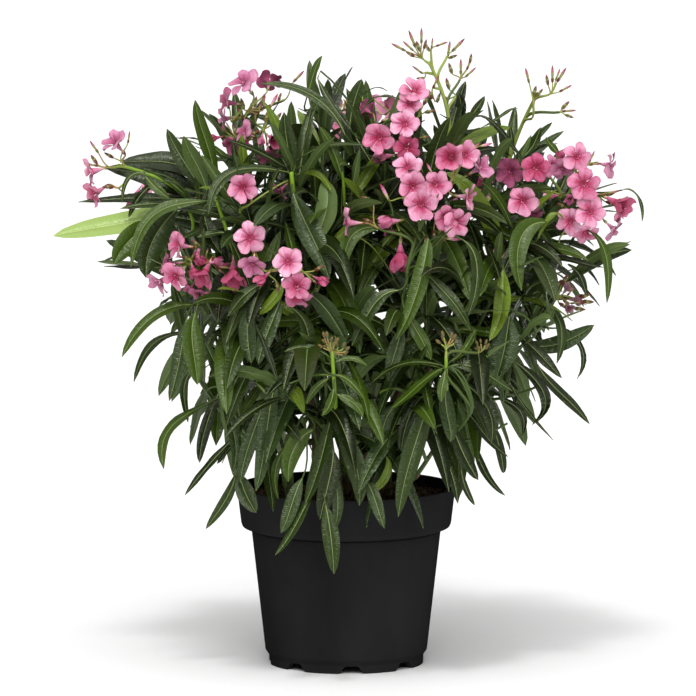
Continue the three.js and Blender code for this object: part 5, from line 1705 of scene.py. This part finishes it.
def make_plant():
    """Twigs, flowers, set leaves and whorls, in this order, because each keeps clear of those before it."""
    twigs_of = {entry["name"]: grow_twigs(entry, i + 1) for i, entry in enumerate(SHOOTS)}
    pieces = {
        "petals": Piece("blossom", list(PETAL_TONES)),
        "stalks": Piece("flower_stalks", list(STALK_TONES)),
    }
    for i, entry in enumerate(HEADS):
        grow_head(pieces, entry, i + 1)
    young = [(Curve(*points), radius) for *points, radius in YOUNG_STEMS]
    for i, (mass, place, blooms) in enumerate(LOOSE_SPRAYS):
        grow_loose(pieces, place, blooms, twigs_of[mass] + young, seeded((i + 1) * 613))
    for curve, radius in young:
        tube(pieces["stalks"], curve, lambda share: radius * mix(1.05, 0.9, share), "stalk_bright", 10, 12)

    front, back = (Piece(name, list(LEAF_TONES)) for name in ("leaves_front", "leaves_back"))
    twig_piece = Piece("twigs", ["twig_green"])
    grow_set_leaves(front, twig_piece, twigs_of)
    grown = len(SET_LEAVES) + len(REACHING_LEAVES)
    for i, entry in enumerate(SHOOTS):
        piece = front if math.sin(math.radians(entry["azimuth"])) < 0 else back
        for number, (curve, scale) in enumerate(twigs_of[entry["name"]]):
            grown += grow_whorls(piece, entry, curve, scale, (i + 1) * 10 + number)
    for entry in REACHING_LEAVES:
        grow_reaching(front, entry)
    masses = [f"foliage_{entry['name']}" for entry in SHOOTS]
    front.build("foliage", masses)
    back.build("foliage", masses)
    make_twigs(twig_piece, twigs_of)
    pieces["petals"].build("blossom", [entry["name"] for entry in HEADS if entry["flowers"]])
    pieces["stalks"].build("buds", [entry["name"] for entry in HEADS if not entry["flowers"]])
    print("leaves", grown)


# ---- Staging -------------------------------------------------------------------------------------

FLOOR_SIZE = 60.0
WORLD_STRENGTH = 0.28

# Soft lights from far away, as even as large studio lamps: azimuth, rise, strength and softness in degrees.
LIGHTS = {
    "key_left": (242, 54, 0.95, 45),
    "key_right": (298, 54, 0.8, 45),
    "spark": (262, 60, 0.8, 8),
    "front": (272, 30, 0.65, 22),
    "top": (90, 80, 0.5, 60),
}
CAMERA = {"distance": 8.0, "elevation": 7.0, "aim": (0.002, 0.0, 0.348), "span": 0.763, "sensor": 36}


def make_floor_plane():
    mesh = bpy.data.meshes.new("studio_floor")
    size = FLOOR_SIZE
    corners = [(-size, -size, 0), (size, -size, 0), (size, size, 0), (-size, size, 0)]
    mesh.from_pydata(corners, [], [(0, 1, 2, 3)])
    mesh.materials.append(MATERIALS["floor"])
    plane = bpy.data.objects.new("studio_floor", mesh)
    bpy.context.collection.objects.link(plane)


def add_light(name, azimuth, rise, strength, softness):
    light = bpy.data.lights.new(name, "SUN")
    light.energy = strength
    light.angle = math.radians(softness)
    item = bpy.data.objects.new(name, light)
    towards = Vector(heading(azimuth, 90 - rise))
    item.location = towards * 4
    item.rotation_euler = towards.to_track_quat("Z", "Y").to_euler()
    bpy.context.collection.objects.link(item)


def set_stage():
    make_floor_plane()
    for name, values in LIGHTS.items():
        add_light(name, *values)
    world = bpy.data.worlds.new("studio")
    world.use_nodes = True
    world.node_tree.nodes["Background"].inputs["Color"].default_value = (1, 1, 1, 1)
    world.node_tree.nodes["Background"].inputs["Strength"].default_value = WORLD_STRENGTH
    scene = bpy.context.scene
    scene.world = world
    scene.view_settings.view_transform = "Standard"
    scene.view_settings.look = "None"


def set_camera():
    lens = bpy.data.cameras.new("camera")
    lens.sensor_width = CAMERA["sensor"]
    lens.lens = CAMERA["sensor"] * CAMERA["distance"] / CAMERA["span"]
    item = bpy.data.objects.new("camera", lens)
    aim = Vector(CAMERA["aim"])
    rise = math.radians(CAMERA["elevation"])
    item.location = aim + Vector((0, -math.cos(rise), math.sin(rise))) * CAMERA["distance"]
    item.rotation_euler = (aim - item.location).to_track_quat("-Z", "Y").to_euler()
    bpy.context.collection.objects.link(item)
    bpy.context.scene.camera = item


make_materials()
make_pot()
make_soil_top()
make_limbs()
make_plant()
set_stage()
set_camera()
